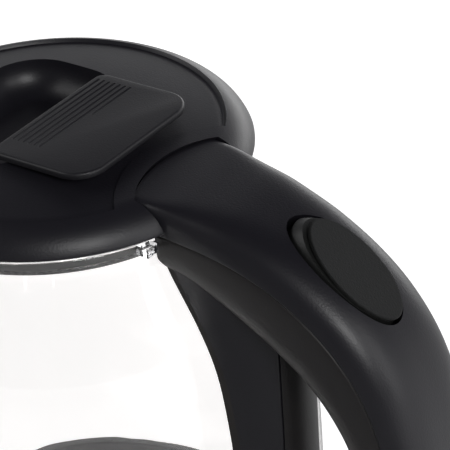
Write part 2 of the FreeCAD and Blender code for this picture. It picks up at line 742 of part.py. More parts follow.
def make_switch():
    face_mid = ((FACE_START + FACE_END) / 2, (FACE_LIFT + FACE_SINK) / 2)
    face_tilt = math.degrees(math.atan2(FACE_LIFT - FACE_SINK, FACE_END - FACE_START))
    face_a = math.hypot(FACE_END - FACE_START, FACE_LIFT - FACE_SINK) / 2
    lower_a = HOLE_A - BUTTON_PLAY_A
    lower_b = HOLE_B - BUTTON_PLAY_B
    top_wire = switch_ellipse(face_mid[0], face_mid[1], face_tilt, face_a, FACE_B)
    mid_wire = switch_ellipse(0.3, -1.5, face_tilt * 0.4, lower_a, lower_b)
    low_wire = switch_ellipse(0.3, -1.5 - BUTTON_SKIRT, face_tilt * 0.4, lower_a, lower_b)
    cap = Part.makeLoft([low_wire, mid_wire, top_wire], True, True)
    pivot = switch_point(PIVOT_S, PIVOT_N)
    web = switch_boxed(PIVOT_S - WEB_HALF_L, PIVOT_S + WEB_HALF_L, -WEB_HALF_W, WEB_HALF_W, PIVOT_N, -BUTTON_SKIRT)
    hub = cyl_y(HUB_R, -HUB_HALF_W, HUB_HALF_W, pivot.x, pivot.z)
    finger = switch_boxed(PIVOT_S - FINGER_W / 2, PIVOT_S + FINGER_W / 2, -FINGER_W, FINGER_W,
                          PIVOT_N - HUB_R - FINGER_LEN, PIVOT_N)
    bore = cyl_y(SWITCH_PIN_R + SWITCH_PLAY, -20, 20, pivot.x, pivot.z)
    dish_r = (face_a ** 2 + DISH_DEPTH ** 2) / (2 * DISH_DEPTH) * 0.8
    t = math.radians(HOLE_TILT + face_tilt)
    middle = switch_point(face_mid[0], face_mid[1])
    ball_at = middle + V(math.sin(t), 0, math.cos(t)) * (dish_r - DISH_DEPTH)
    dish = Part.makeSphere(dish_r, ball_at)
    keep_rim = Part.makeLoft([
        switch_ellipse(face_mid[0], face_mid[1] + n, face_tilt, face_a - 1.0, FACE_B - 1.0)
        for n in (-6, 8)], True, True)
    rocker = merged([cap, web, hub, finger]).cut(bore).cut(dish.common(keep_rim))
    add("switch_rocker", keep_largest(rocker))

    tip = PIVOT_N - HUB_R - FINGER_LEN
    slot_half_l = FINGER_W / 2 + SLIDER_PLAY
    slot_half_w = FINGER_W + SLIDER_PLAY
    slot = switch_boxed(PIVOT_S - slot_half_l, PIVOT_S + slot_half_l, -slot_half_w, slot_half_w,
                        tip - SLIDER_PLAY, tip + BIG)
    floor = tip - SLIDER_FLOOR
    slider = switch_boxed(PIVOT_S - SLIDER_L / 2, PIVOT_S + SLIDER_L / 2, -SLIDER_W / 2, SLIDER_W / 2,
                          floor, floor + SLIDER_H)
    add("switch_slider", slider.cut(slot))
    house_half_l = SLIDER_L / 2 + HOUSE_MARGIN
    house_top = floor - 0.3
    house = switch_boxed(PIVOT_S - house_half_l, PIVOT_S + house_half_l, -HOUSE_HALF_W, HOUSE_HALF_W,
                         house_top - HOUSE_H, house_top)
    add("steam_switch", house)


# ---------------------------------------------------------------- lid

def lid_cap(inset):
    """Solid cap: dome, step, raised bead, rounded shoulder and skirt, moved in by inset."""
    bead = LID_BEAD_RISE - inset
    shoulder = LID_SHOULDER_R - inset
    bead_r = LID_R - LID_SHOULDER_R
    skirt_z = -LID_SKIRT_DROP
    step_out = LID_STEP_R
    step_in = LID_STEP_R - LID_STEP_W
    centre_z = LID_Z + bead - shoulder
    outer_angle = math.asin(max(-1, min(1, (LID_Z + skirt_z - centre_z) / shoulder)))
    step_angle = math.acos((step_out - bead_r) / shoulder)
    start, mid, end = [V(bead_r + shoulder * math.cos(a), 0, centre_z + shoulder * math.sin(a))
                       for a in (step_angle, (step_angle + outer_angle) / 2, outer_angle)]
    foot = V(step_in, 0, LID_Z - inset)
    top = V(0, 0, LID_Z + LID_DOME_RISE - inset)
    dome_mid = V(step_in * 0.55, 0, LID_Z + LID_DOME_RISE * 0.70 - inset)
    bottom = V(0, 0, LID_Z + skirt_z)
    edges = [
        Part.Arc(top, dome_mid, foot).toShape(),
        Part.makeLine(foot, start),
        Part.Arc(start, mid, end).toShape(),
        Part.makeLine(end, bottom),
        Part.makeLine(bottom, top),
    ]
    return spin_edges(edges)


def well_tool(grow):
    x0, x1 = WELL_X_MIN - grow, WELL_X_MAX + grow
    half = WELL_HALF_W + grow
    z0 = LID_Z + WELL_FLOOR_Z - grow
    tool = box(x0, x1, -half, half, z0, LID_Z + 14)
    upright = [e for e in tool.Edges if e.BoundBox.ZLength > 5]
    tool = tool.makeFillet(WELL_CORNER_R + grow, upright)
    floor = [e for e in tool.Edges if e.BoundBox.ZMax < z0 + 0.01]
    return tool.makeFillet(WELL_FLOOR_R + grow, floor)


def lid_notch():
    """Room that the handle's end and its swing need in the lid."""
    half = ROOT_HALF_W + SIDE_GAP
    barrel = root_barrel(LID_OPEN_GAP, half)
    behind = box(HINGE_X - 1.0, BIG, -half, half, LID_Z - 60, LID_Z + 20)
    return merged([barrel, behind])


def stem_slots(play, travel, z0, z1):
    shapes = []
    for side in (-1, 1):
        y = side * STEM_Y
        shapes.append(box(STEM_X - STEM_L / 2 - play, STEM_X + STEM_L / 2 + play + travel,
                          y - STEM_W / 2 - play, y + STEM_W / 2 + play, z0, z1))
    return shapes


def make_lid():
    cap = lid_cap(0.0)
    skin = cap.cut(lid_cap(LID_WALL).cut(well_tool(LID_WALL)))
    cup = well_tool(LID_WALL).common(box(-BIG, BIG, -BIG, BIG, LID_Z + WELL_FLOOR_Z - LID_WALL, LID_Z))
    skin = merged([skin, cup]).cut(well_tool(0.0))
    half = ROOT_HALF_W + SIDE_GAP
    ears = []
    for side in (-1, 1):
        ear = box(HINGE_X - 4.5, HINGE_X + 6, half, half + EAR_REACH + 2.2, HINGE_Z - 2.6, LID_Z)
        if side < 0:
            ear = ear.mirror(CENTRE, ALONG_Y)
        ears.append(ear.common(cap))
    wall_out = root_barrel(LID_OPEN_GAP + LID_WALL, half + 0.01)
    notch_wall = wall_out.common(cap).common(box(0, HINGE_X - 4, -half, half, LID_Z - 20, LID_Z + 5))
    skin = merged([skin, notch_wall] + ears).cut(lid_notch())
    pin_bore = cyl_y(HINGE_PIN_R + HINGE_PLAY, -(half + EAR_REACH), half + EAR_REACH, HINGE_X, HINGE_Z)
    skin = skin.cut(pin_bore)
    skin = skin.cut(group(stem_slots(SLOT_PLAY, TAB_TRAVEL, LID_Z - 12, LID_Z + 12)))
    add("lid_top_shell", keep_largest(skin))

    plug_top = LID_Z - LID_SKIRT_DROP
    plug_bottom = LID_Z - PLUG_DROP
    plug = cyl(PLUG_R, plug_bottom, plug_top).cut(cyl(PLUG_R - PLUG_WALL, plug_bottom + PLUG_WALL, plug_top + 1))
    seal_z = LID_Z - SEAL_DROP
    seal_groove = tube(PLUG_R - 0.8, PLUG_R + 5, seal_z, seal_z + LID_SEAL_H)
    flow = [box(-BIG, -PLUG_R + 6, y - 1.6, y + 1.6, plug_bottom - 1, plug_bottom + 1.0) for y in FLOW_SLOTS_Y]
    nose_slot = box(-BIG, 0, -BAR_W / 2 - 0.4, BAR_W / 2 + 0.4, LID_Z + BAR_Z - 0.4, LID_Z + BAR_Z + BAR_T + 0.4)
    plug = plug.cut(seal_groove).cut(group(flow)).cut(nose_slot).cut(lid_notch())
    posts = [tube(BASE_SCREW_R, LID_POST_R, plug_bottom + 1, LID_Z - 4.5, x, y) for x, y in LID_POSTS]
    bores = [cyl(BASE_SCREW_R, plug_bottom - 1, LID_Z - 4, x, y) for x, y in LID_POSTS]
    sinks = [cyl(SCREW_HEAD_R + 0.2, plug_bottom - 1, plug_bottom + 1.2, x, y) for x, y in LID_POSTS]
    stop = box(SPRING_END_X, SPRING_END_X + 2.0, -4, 4, plug_bottom + 1, LID_Z + BAR_Z + BAR_T + 1.5)
    plug = merged([keep_largest(plug), stop] + posts).cut(group(bores + sinks))
    plug = plug.cut(SHAPES["lid_top_shell"])
    add("lid_inner_plate", keep_largest(plug))
    screws = []
    for x, y in LID_POSTS:
        head = cyl(SCREW_HEAD_R, plug_bottom + 0.1, plug_bottom + 1.2, x, y)
        screws.append(merged([head, cyl(BASE_SCREW_R, plug_bottom + 1.1, LID_Z - 5, x, y)]))
    add("lid_screws", group(screws))
    seal_r = NECK_BORE_R - LID_SEAL_PLAY
    seal = tube(PLUG_R - 0.8, seal_r, seal_z, seal_z + LID_SEAL_H).cut(lid_notch()).cut(nose_slot)
    add("lid_seal", group(seal.Solids))
    add("lid_hinge_pin", cyl_y(HINGE_PIN_R, -(half + EAR_REACH - 0.4), half + EAR_REACH - 0.4, HINGE_X, HINGE_Z))


def make_tab():
    top = LID_Z + TAB_EDGE_Z
    x1 = TAB_X_MIN + TAB_LEN
    plate = box(TAB_X_MIN, x1, -TAB_HALF_W, TAB_HALF_W, top - TAB_T, top)
    back = [e for e in plate.Edges if e.BoundBox.ZLength > 1 and e.BoundBox.XMin > x1 - 1]
    plate = plate.makeFillet(TAB_CORNER_R, back)
    front = [e for e in plate.Edges if e.BoundBox.ZLength > 1 and e.BoundBox.XMax < TAB_X_MIN + 0.1]
    plate = plate.makeFillet(TAB_FRONT_CORNER_R, front)
    upper = [e for e in plate.Edges if e.BoundBox.ZMin > top - 0.01]
    plate = plate.makeFillet(0.7, upper)
    for i in range(RIB_COUNT):
        x = TAB_X_MIN + 4.0 + i * RIB_PITCH
        y0 = -TAB_HALF_W + 6.5 if i < RIB_COUNT - 1 else 0.0
        plate = plate.cut(box(x, x + RIB_W, y0, TAB_HALF_W - 5.0, top - RIB_DEPTH, top + 1))
    plate.rotate(V(TAB_X_MIN, 0, top), ALONG_Y, -TAB_TILT)
    stems = stem_slots(0.0, 0.0, LID_Z + BAR_Z, top - TAB_T + 1.2)
    plate = merged([plate] + stems)
    add("lid_latch_tab", plate)
    reach = NECK_BORE_R - 3.2
    bar = box(-reach, STEM_X - STEM_L / 2 - 4, -BAR_W / 2, BAR_W / 2, LID_Z + BAR_Z, LID_Z + BAR_Z + BAR_T)
    cross = box(STEM_X - STEM_L / 2 - 6, STEM_X + STEM_L / 2, -STEM_Y - STEM_W / 2, STEM_Y + STEM_W / 2,
                LID_Z + BAR_Z, LID_Z + BAR_Z + BAR_T)
    bar = merged([bar, cross]).cut(group(stems))
    add("lid_latch_bar", keep_largest(bar))


def make_spring():
    """Coil spring that pushes the latch bar back towards the spout."""
    start = STEM_X + STEM_L / 2 + 0.1
    length = SPRING_END_X - start - 0.1
    reach = length - 2 * SPRING_WIRE_R
    coil_r = SPRING_R - SPRING_WIRE_R
    helix = Part.makeHelix(reach / SPRING_TURNS, reach, coil_r)
    ring = Part.Wire(Part.makeCircle(SPRING_WIRE_R, V(coil_r, 0, 0), ALONG_Y))
    coil = Part.Wire(helix).makePipeShell([ring], True, True)
    coil = coil if coil.ShapeType == "Solid" else coil.Solids[0]
    coil.translate(V(0, 0, SPRING_WIRE_R))
    coil.rotate(CENTRE, ALONG_Y, 90)
    coil.translate(V(start, 0, LID_Z + BAR_Z + BAR_T / 2))
    add("lid_latch_spring", coil)


def make_neck_clip():
    """Two small lugs bonded to the glass under its lip, one on each side of the handle."""
    glass = glass_body(0.0, LIP_Z, 1.0)
    front = math.sqrt(NECK_R ** 2 - CLIP_Y ** 2)
    lugs = []
    for side in (-1, 1):
        lug = box(front - CLIP_W, front + CLIP_W / 2 + CLIP_REACH,
                  side * CLIP_Y - CLIP_W / 2, side * CLIP_Y + CLIP_W / 2,
                  LID_Z + CLIP_Z - CLIP_H, LID_Z + CLIP_Z)
        lugs.append(keep_largest(lug.cut(glass)))
    add("neck_clip", group(lugs))


def make_filter():
    """Slotted screen inside the neck, behind the spout, with one bar across its slots."""
    z0, z1 = LIP_Z - FILTER_TOP - FILTER_H, LIP_Z - FILTER_TOP
    r_out = NECK_BORE_R - FILTER_PLAY
    x_end = FILTER_DEPTH - r_out
    wall = tube(r_out - FILTER_T, r_out, z0, z1)
    frame = wall.common(box(-BIG, x_end, -BIG, BIG, z0 - 1, z1 + 1))
    slots = []
    for y in range(-18, 19, FILTER_PITCH):
        slots.append(box(-BIG, 0, y - FILTER_SLOT_W / 2, y + FILTER_SLOT_W / 2, z0 + FILTER_RIM, z1 - FILTER_RIM))
    frame = frame.cut(group(slots))
    middle = (z0 + z1) / 2
    bar = wall.common(box(-BIG, x_end, -BIG, BIG, middle - FILTER_BAR_W / 2, middle + FILTER_BAR_W / 2))
    add("spout_filter", merged([frame, bar]))


def main():
    make_base()
    socket_r, socket_top = make_socket()
    make_glass()
    make_foot(socket_r, socket_top)
    glass_clear = glass_body(-GLASS_PLAY, LIP_Z + 0.6, 1.0)
    gasket_clear = glass_body(-(GLASS_PLAY + GASKET_T), LIP_Z + 0.6, 1.0)
    full = make_handle(glass_clear, gasket_clear)
    make_strap(full, glass_clear, gasket_clear)
    make_neck_clip()
    make_switch()
    make_lid()
    make_tab()
    make_spring()
    make_filter()
    os.makedirs("parts", exist_ok=True)
    for name, shape in SHAPES.items():
        shape.exportStep("parts/" + name + ".step")
        solids = shape.Solids
        bb = shape.BoundBox
        print(f"{name:22s} solids {len(solids)} valid {shape.isValid()} vol {shape.Volume / 1000:8.2f} cm3 "
              f"x {bb.XMin:7.1f} {bb.XMax:7.1f} y {bb.YMin:6.1f} {bb.YMax:6.1f} z {bb.ZMin:6.1f} {bb.ZMax:6.1f}")


main()
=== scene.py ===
# %% [markdown]
# # A glass electric kettle
# The CAD model is loaded first and never moved. Every piece made below sits in the same frame, in metres,
# with the spout towards -X and the handle towards +X.

# %% load the frame
import json
import math

import bpy
from mathutils import Matrix, Vector


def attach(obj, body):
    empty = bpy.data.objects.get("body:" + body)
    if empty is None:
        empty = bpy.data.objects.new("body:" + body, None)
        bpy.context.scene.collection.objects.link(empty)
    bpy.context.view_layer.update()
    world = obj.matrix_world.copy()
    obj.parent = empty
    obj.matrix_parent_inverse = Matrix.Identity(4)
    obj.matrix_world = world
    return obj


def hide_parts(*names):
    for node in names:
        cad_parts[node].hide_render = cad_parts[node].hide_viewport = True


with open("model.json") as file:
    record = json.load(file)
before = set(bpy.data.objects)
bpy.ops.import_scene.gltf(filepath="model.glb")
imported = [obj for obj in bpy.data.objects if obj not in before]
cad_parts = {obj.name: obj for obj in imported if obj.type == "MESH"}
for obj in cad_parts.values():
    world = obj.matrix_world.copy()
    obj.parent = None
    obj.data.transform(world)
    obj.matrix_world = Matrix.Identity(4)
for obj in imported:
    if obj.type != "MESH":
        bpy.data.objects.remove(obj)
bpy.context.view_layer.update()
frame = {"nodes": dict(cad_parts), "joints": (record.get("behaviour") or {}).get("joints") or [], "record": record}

RECORD = frame["record"]
BODY_OF = {node: body for body, nodes in RECORD["behaviour"]["bodies"].items() for node in nodes}
SLOT_OF = {part["node"]: part["material_slot"] for part in RECORD["subparts"]}

# %% [markdown]
# ## Camera
# A long lens looks down on the lid and the handle. Its place is given in metres, and its direction as a
# turn round the kettle, a height above the horizon and a small tilt of the picture.

# %% camera
LID_PLANE = next(j for j in frame["joints"] if j["name"] == "lid_hinge")["pos_m"][2] + 0.0052
CAMERA_AT = Vector((0.4249, -0.4614, LID_PLANE + 0.3666))
CAMERA_TURN = math.radians(38.14)
CAMERA_RISE = math.radians(32.89)
CAMERA_ROLL = math.radians(-3.93)


def camera_axes():
    back = Vector((math.sin(CAMERA_TURN) * math.cos(CAMERA_RISE),
                   -math.cos(CAMERA_TURN) * math.cos(CAMERA_RISE), math.sin(CAMERA_RISE)))
    level = Vector((math.cos(CAMERA_TURN), math.sin(CAMERA_TURN), 0))
    rise = level.cross(-back)
    right = level * math.cos(CAMERA_ROLL) + rise * math.sin(CAMERA_ROLL)
    up = -level * math.sin(CAMERA_ROLL) + rise * math.cos(CAMERA_ROLL)
    return right, up, back


bpy.ops.object.camera_add(location=CAMERA_AT)
camera = bpy.context.object
right, up, back = camera_axes()
camera.matrix_world = Matrix(((right.x, up.x, back.x, CAMERA_AT.x), (right.y, up.y, back.y, CAMERA_AT.y),
                       (right.z, up.z, back.z, CAMERA_AT.z), (0, 0, 0, 1)))
camera.data.lens = 200
camera.data.sensor_width = 36
camera.data.clip_start = 0.02
bpy.context.scene.camera = camera
print("camera looks along", (-back)[:])

# %% [markdown]
# ## Studio
# The kettle stands on a pale floor in front of a white horizon; the floor glows evenly white to the camera
# and through the glass. Black plastic is seen mostly by what it reflects, so the ceiling and the near side of
# the room stay dim, the floor glows as a painted reflection only behind the kettle and to its right, and soft
# panels draw the highlights.

# %% studio world and floor
bpy.context.scene.view_settings.view_transform = "Standard"


def node(tree, kind, at=(0, 0), **values):
    """Adds a shader node; keyword names are its properties."""
    made = tree.nodes.new(kind)
    made.location = at
    for key, value in values.items():
        setattr(made, key, value)
    return made


def make_world():
    world = bpy.data.worlds.new("studio_world")
    bpy.context.scene.world = world
    world.use_nodes = True
    tree = world.node_tree
    tree.nodes.clear()
    where = node(tree, "ShaderNodeTexCoord")
    split = node(tree, "ShaderNodeSeparateXYZ")
    ramp = node(tree, "ShaderNodeValToRGB")
    shade = node(tree, "ShaderNodeBackground")
    out = node(tree, "ShaderNodeOutputWorld")
    ramp.color_ramp.interpolation = "EASE"
    ramp.color_ramp.elements[0].position = 0.0
    ramp.color_ramp.elements[0].color = (1.0, 1.0, 1.0, 1)
    ramp.color_ramp.elements[1].position = 0.75
    ramp.color_ramp.elements[1].color = (0.032, 0.031, 0.040, 1)
    middle = ramp.color_ramp.elements.new(0.30)
    middle.color = (0.37, 0.37, 0.39, 1)
    behind = node(tree, "ShaderNodeMapRange", interpolation_type="SMOOTHSTEP")
    behind.inputs["From Min"].default_value = -0.45
    behind.inputs["From Max"].default_value = 0.45
    behind.inputs["To Min"].default_value = 0.22
    tree.links.new(split.outputs["Y"], behind.inputs["Value"])
    tree.links.new(behind.outputs[0], shade.inputs["Strength"])
    tree.links.new(where.outputs["Generated"], split.inputs[0])
    tree.links.new(split.outputs["Z"], ramp.inputs[0])
    tree.links.new(ramp.outputs["Color"], shade.inputs["Color"])
    tree.links.new(shade.outputs[0], out.inputs["Surface"])


GLOW_DIRECT, GLOW_THROUGH_GLASS = 0.95, 0.90


def make_floor():
    bpy.ops.mesh.primitive_plane_add(size=12.0, location=(0, 0, -0.0004))
    floor = bpy.context.object
    floor.name = "studio_floor"
    paint = bpy.data.materials.new("floor_paper")
    paint.use_nodes = True
    tree = paint.node_tree
    shader = tree.nodes["Principled BSDF"]
    shader.inputs["Base Color"].default_value = (0.55, 0.55, 0.55, 1)
    shader.inputs["Roughness"].default_value = 0.9
    glow = node(tree, "ShaderNodeEmission")
    path = node(tree, "ShaderNodeLightPath")
    add_up = node(tree, "ShaderNodeAddShader")
    where = node(tree, "ShaderNodeTexCoord")
    slope = node(tree, "ShaderNodeVectorMath", operation="DOT_PRODUCT")
    slope.inputs[1].default_value = (0.8, 1.0, 0.0)
    # Painted reflection: for glossy rays the floor glows only behind the kettle and to its right, so the black
    # plastic shows bright reflections there.
    painted_reflection_mask = node(tree, "ShaderNodeMapRange", interpolation_type="SMOOTHSTEP")
    painted_reflection_mask.inputs["From Min"].default_value = 0.05
    painted_reflection_mask.inputs["From Max"].default_value = 0.55
    painted_reflection_mask.inputs["To Max"].default_value = 0.6
    painted_reflection_glow = node(tree, "ShaderNodeMath", operation="MULTIPLY")
    through = node(tree, "ShaderNodeMath", operation="MULTIPLY_ADD")
    through.inputs[1].default_value = GLOW_THROUGH_GLASS
    direct = node(tree, "ShaderNodeMath", operation="MULTIPLY_ADD")
    direct.inputs[1].default_value = GLOW_DIRECT
    link = tree.links.new
    link(where.outputs["Object"], slope.inputs[0])
    link(slope.outputs["Value"], painted_reflection_mask.inputs["Value"])
    link(painted_reflection_mask.outputs[0], painted_reflection_glow.inputs[0])
    link(path.outputs["Is Glossy Ray"], painted_reflection_glow.inputs[1])
    link(path.outputs["Is Transmission Ray"], through.inputs[0])
    link(painted_reflection_glow.outputs[0], through.inputs[2])
    link(path.outputs["Is Camera Ray"], direct.inputs[0])
    link(through.outputs[0], direct.inputs[2])
    link(direct.outputs[0], glow.inputs["Strength"])
    link(shader.outputs[0], add_up.inputs[0])
    link(glow.outputs[0], add_up.inputs[1])
    link(add_up.outputs[0], tree.nodes["Material Output"].inputs["Surface"])
    floor.data.materials.append(paint)
    return floor


make_world()
floor = make_floor()
print("floor", floor.dimensions[:])


# %% soft panels
def soft_panel(name, at, aim, size, power):
    """A square soft light at a place, turned to face a point."""
    bpy.ops.object.light_add(type="AREA", location=at)
    lamp = bpy.context.object
    lamp.name = name
    lamp.rotation_euler = (Vector(at) - Vector(aim)).to_track_quat("Z", "Y").to_euler()
    lamp.data.shape = "RECTANGLE"
    lamp.data.size, lamp.data.size_y = size
    lamp.data.energy = power
    return lamp


AIM = (0.03, 0.0, 0.17)
soft_panel("panel_left", (-0.9, -0.55, 0.95), AIM, (0.7, 0.9), 3.5)
soft_panel("panel_back", (-0.15, 1.5, 0.35), AIM, (1.4, 0.4), 5.0)
soft_panel("panel_right", (1.3, 0.1, 0.7), AIM, (0.5, 0.9), 3.0)
soft_panel("panel_front", (0.84, -0.54, 0.86), AIM, (0.34, 0.34), 4.5)
print("four soft panels")

# %% [markdown]
# ## Finishes
# Moulded plastic shows a fine matt grain and a slow drift of tone. Brushed metal shows fine lines. The parts
# of those looks that repeat are node groups, used in each material with its own values.


# %% shared groups
def new_group(name, inputs, outputs):
    tree = bpy.data.node_groups.new(name, "ShaderNodeTree")
    for label, value in inputs.items():
        socket = tree.interface.new_socket(name=label, in_out="INPUT", socket_type="NodeSocketFloat")
        socket.default_value = value
    for label, kind in outputs.items():
        tree.interface.new_socket(name=label, in_out="OUTPUT", socket_type=kind)
    return tree, node(tree, "NodeGroupInput"), node(tree, "NodeGroupOutput")


def make_grain_group():
    """Fine moulded grain: a height for a Bump node and a small change of roughness."""
    tree, start, end = new_group("moulded_grain", {"Scale": 1800.0, "Spread": 0.05},
                                 {"Height": "NodeSocketFloat", "Roughness shift": "NodeSocketFloat"})
    where = node(tree, "ShaderNodeTexCoord")
    fine = node(tree, "ShaderNodeTexNoise")
    fine.inputs["Detail"].default_value = 3.0
    broad = node(tree, "ShaderNodeTexNoise")
    broad.inputs["Scale"].default_value = 38.0
    broad.inputs["Detail"].default_value = 4.0
    centred = node(tree, "ShaderNodeMath", operation="SUBTRACT")
    centred.inputs[1].default_value = 0.5
    spread = node(tree, "ShaderNodeMath", operation="MULTIPLY")
    tree.links.new(where.outputs["Object"], fine.inputs["Vector"])
    tree.links.new(where.outputs["Object"], broad.inputs["Vector"])
    tree.links.new(start.outputs["Scale"], fine.inputs["Scale"])
    tree.links.new(broad.outputs["Fac"], centred.inputs[0])
    tree.links.new(centred.outputs[0], spread.inputs[0])
    tree.links.new(start.outputs["Spread"], spread.inputs[1])
    tree.links.new(fine.outputs["Fac"], end.inputs["Height"])
    tree.links.new(spread.outputs[0], end.inputs["Roughness shift"])
    return tree


def make_brush_group():
    """Fine lines left by brushing, stretched along one direction."""
    tree, start, end = new_group("brush_lines", {"Across": 900.0, "Along": 12.0, "Upright": 12.0},
                                 {"Height": "NodeSocketFloat"})
    where = node(tree, "ShaderNodeTexCoord")
    size = node(tree, "ShaderNodeCombineXYZ")
    stretch = node(tree, "ShaderNodeVectorMath", operation="MULTIPLY")
    lines = node(tree, "ShaderNodeTexNoise")
    lines.inputs["Scale"].default_value = 1.0
    lines.inputs["Detail"].default_value = 4.0
    tree.links.new(start.outputs["Across"], size.inputs[0])
    tree.links.new(start.outputs["Along"], size.inputs[1])
    tree.links.new(start.outputs["Upright"], size.inputs[2])
    tree.links.new(where.outputs["Object"], stretch.inputs[0])
    tree.links.new(size.outputs[0], stretch.inputs[1])
    tree.links.new(stretch.outputs[0], lines.inputs["Vector"])
    tree.links.new(lines.outputs["Fac"], end.inputs["Height"])
    return tree


GRAIN = make_grain_group()
BRUSH = make_brush_group()
print("groups", [g.name for g in bpy.data.node_groups])


# %% plastic
def use_group(tree, group, **values):
    made = node(tree, "ShaderNodeGroup", node_tree=group)
    for label, value in values.items():
        made.inputs[label].default_value = value
    return made


def moulded(name, colour, roughness, grain=0.05, scale=1800.0, tone=0.12):
    """Moulded plastic or rubber: fine grain as bump, and a slow drift of tone and gloss."""
    made = bpy.data.materials.new(name)
    made.use_nodes = True
    tree = made.node_tree
    shader = tree.nodes["Principled BSDF"]
    texture = use_group(tree, GRAIN, Scale=scale, Spread=0.10)
    where = node(tree, "ShaderNodeTexCoord")
    drift = node(tree, "ShaderNodeTexNoise")
    drift.inputs["Scale"].default_value = 14.0
    drift.inputs["Detail"].default_value = 3.0
    tint = node(tree, "ShaderNodeMix", data_type="RGBA")
    darker = tuple(c * (1 - tone) for c in colour)
    lighter = tuple(c * (1 + tone) for c in colour)
    tint.inputs["A"].default_value = (*darker, 1)
    tint.inputs["B"].default_value = (*lighter, 1)
    rough = node(tree, "ShaderNodeMath", operation="ADD")
    rough.inputs[1].default_value = roughness
    bump = node(tree, "ShaderNodeBump")
    bump.inputs["Strength"].default_value = 1.0
    bump.inputs["Distance"].default_value = grain * 0.001
    link = tree.links.new
    link(where.outputs["Object"], drift.inputs["Vector"])
    link(drift.outputs["Fac"], tint.inputs["Factor"])
    link(tint.outputs["Result"], shader.inputs["Base Color"])
    link(texture.outputs["Roughness shift"], rough.inputs[0])
    link(rough.outputs[0], shader.inputs["Roughness"])
    link(texture.outputs["Height"], bump.inputs["Height"])
    link(bump.outputs["Normal"], shader.inputs["Normal"])
    return made


def metal(name, colour, roughness, across=900.0, along=12.0, upright=12.0, depth=0.02):
    """Metal with brushed lines that show in its bump and roughness."""
    made = bpy.data.materials.new(name)
    made.use_nodes = True
    tree = made.node_tree
    shader = tree.nodes["Principled BSDF"]
    shader.inputs["Metallic"].default_value = 1.0
    lines = use_group(tree, BRUSH, Across=across, Along=along, Upright=upright)
    tint = node(tree, "ShaderNodeMix", data_type="RGBA")
    tint.inputs["A"].default_value = (*(c * 0.86 for c in colour), 1)
    tint.inputs["B"].default_value = (*(min(1.0, c * 1.08) for c in colour), 1)
    rough = node(tree, "ShaderNodeMath", operation="MULTIPLY_ADD")
    rough.inputs[1].default_value = 0.14
    rough.inputs[2].default_value = roughness - 0.07
    bump = node(tree, "ShaderNodeBump")
    bump.inputs["Distance"].default_value = depth * 0.001
    link = tree.links.new
    link(lines.outputs["Height"], tint.inputs["Factor"])
    link(tint.outputs["Result"], shader.inputs["Base Color"])
    link(lines.outputs["Height"], rough.inputs[0])
    link(rough.outputs[0], shader.inputs["Roughness"])
    link(lines.outputs["Height"], bump.inputs["Height"])
    link(bump.outputs["Normal"], shader.inputs["Normal"])
    return made


def clear(name, colour, roughness, ior=1.5):
    """Clear glass or silicone: full transmission, with faint smears in its gloss."""
    made = bpy.data.materials.new(name)
    made.use_nodes = True
    tree = made.node_tree
    shader = tree.nodes["Principled BSDF"]
    shader.inputs["Metallic"].default_value = 0.0
    shader.inputs["Transmission Weight"].default_value = 1.0
    shader.inputs["IOR"].default_value = ior
    smear = use_group(tree, GRAIN, Scale=60.0, Spread=0.03)
    tint = node(tree, "ShaderNodeMix", data_type="RGBA")
    tint.inputs["A"].default_value = (*colour, 1)
    tint.inputs["B"].default_value = (*(c * 0.97 for c in colour), 1)
    rough = node(tree, "ShaderNodeMath", operation="ADD", use_clamp=True)
    rough.inputs[1].default_value = roughness
    link = tree.links.new
    link(smear.outputs["Height"], tint.inputs["Factor"])
    link(tint.outputs["Result"], shader.inputs["Base Color"])
    link(smear.outputs["Roughness shift"], rough.inputs[0])
    link(rough.outputs[0], shader.inputs["Roughness"])
    return made


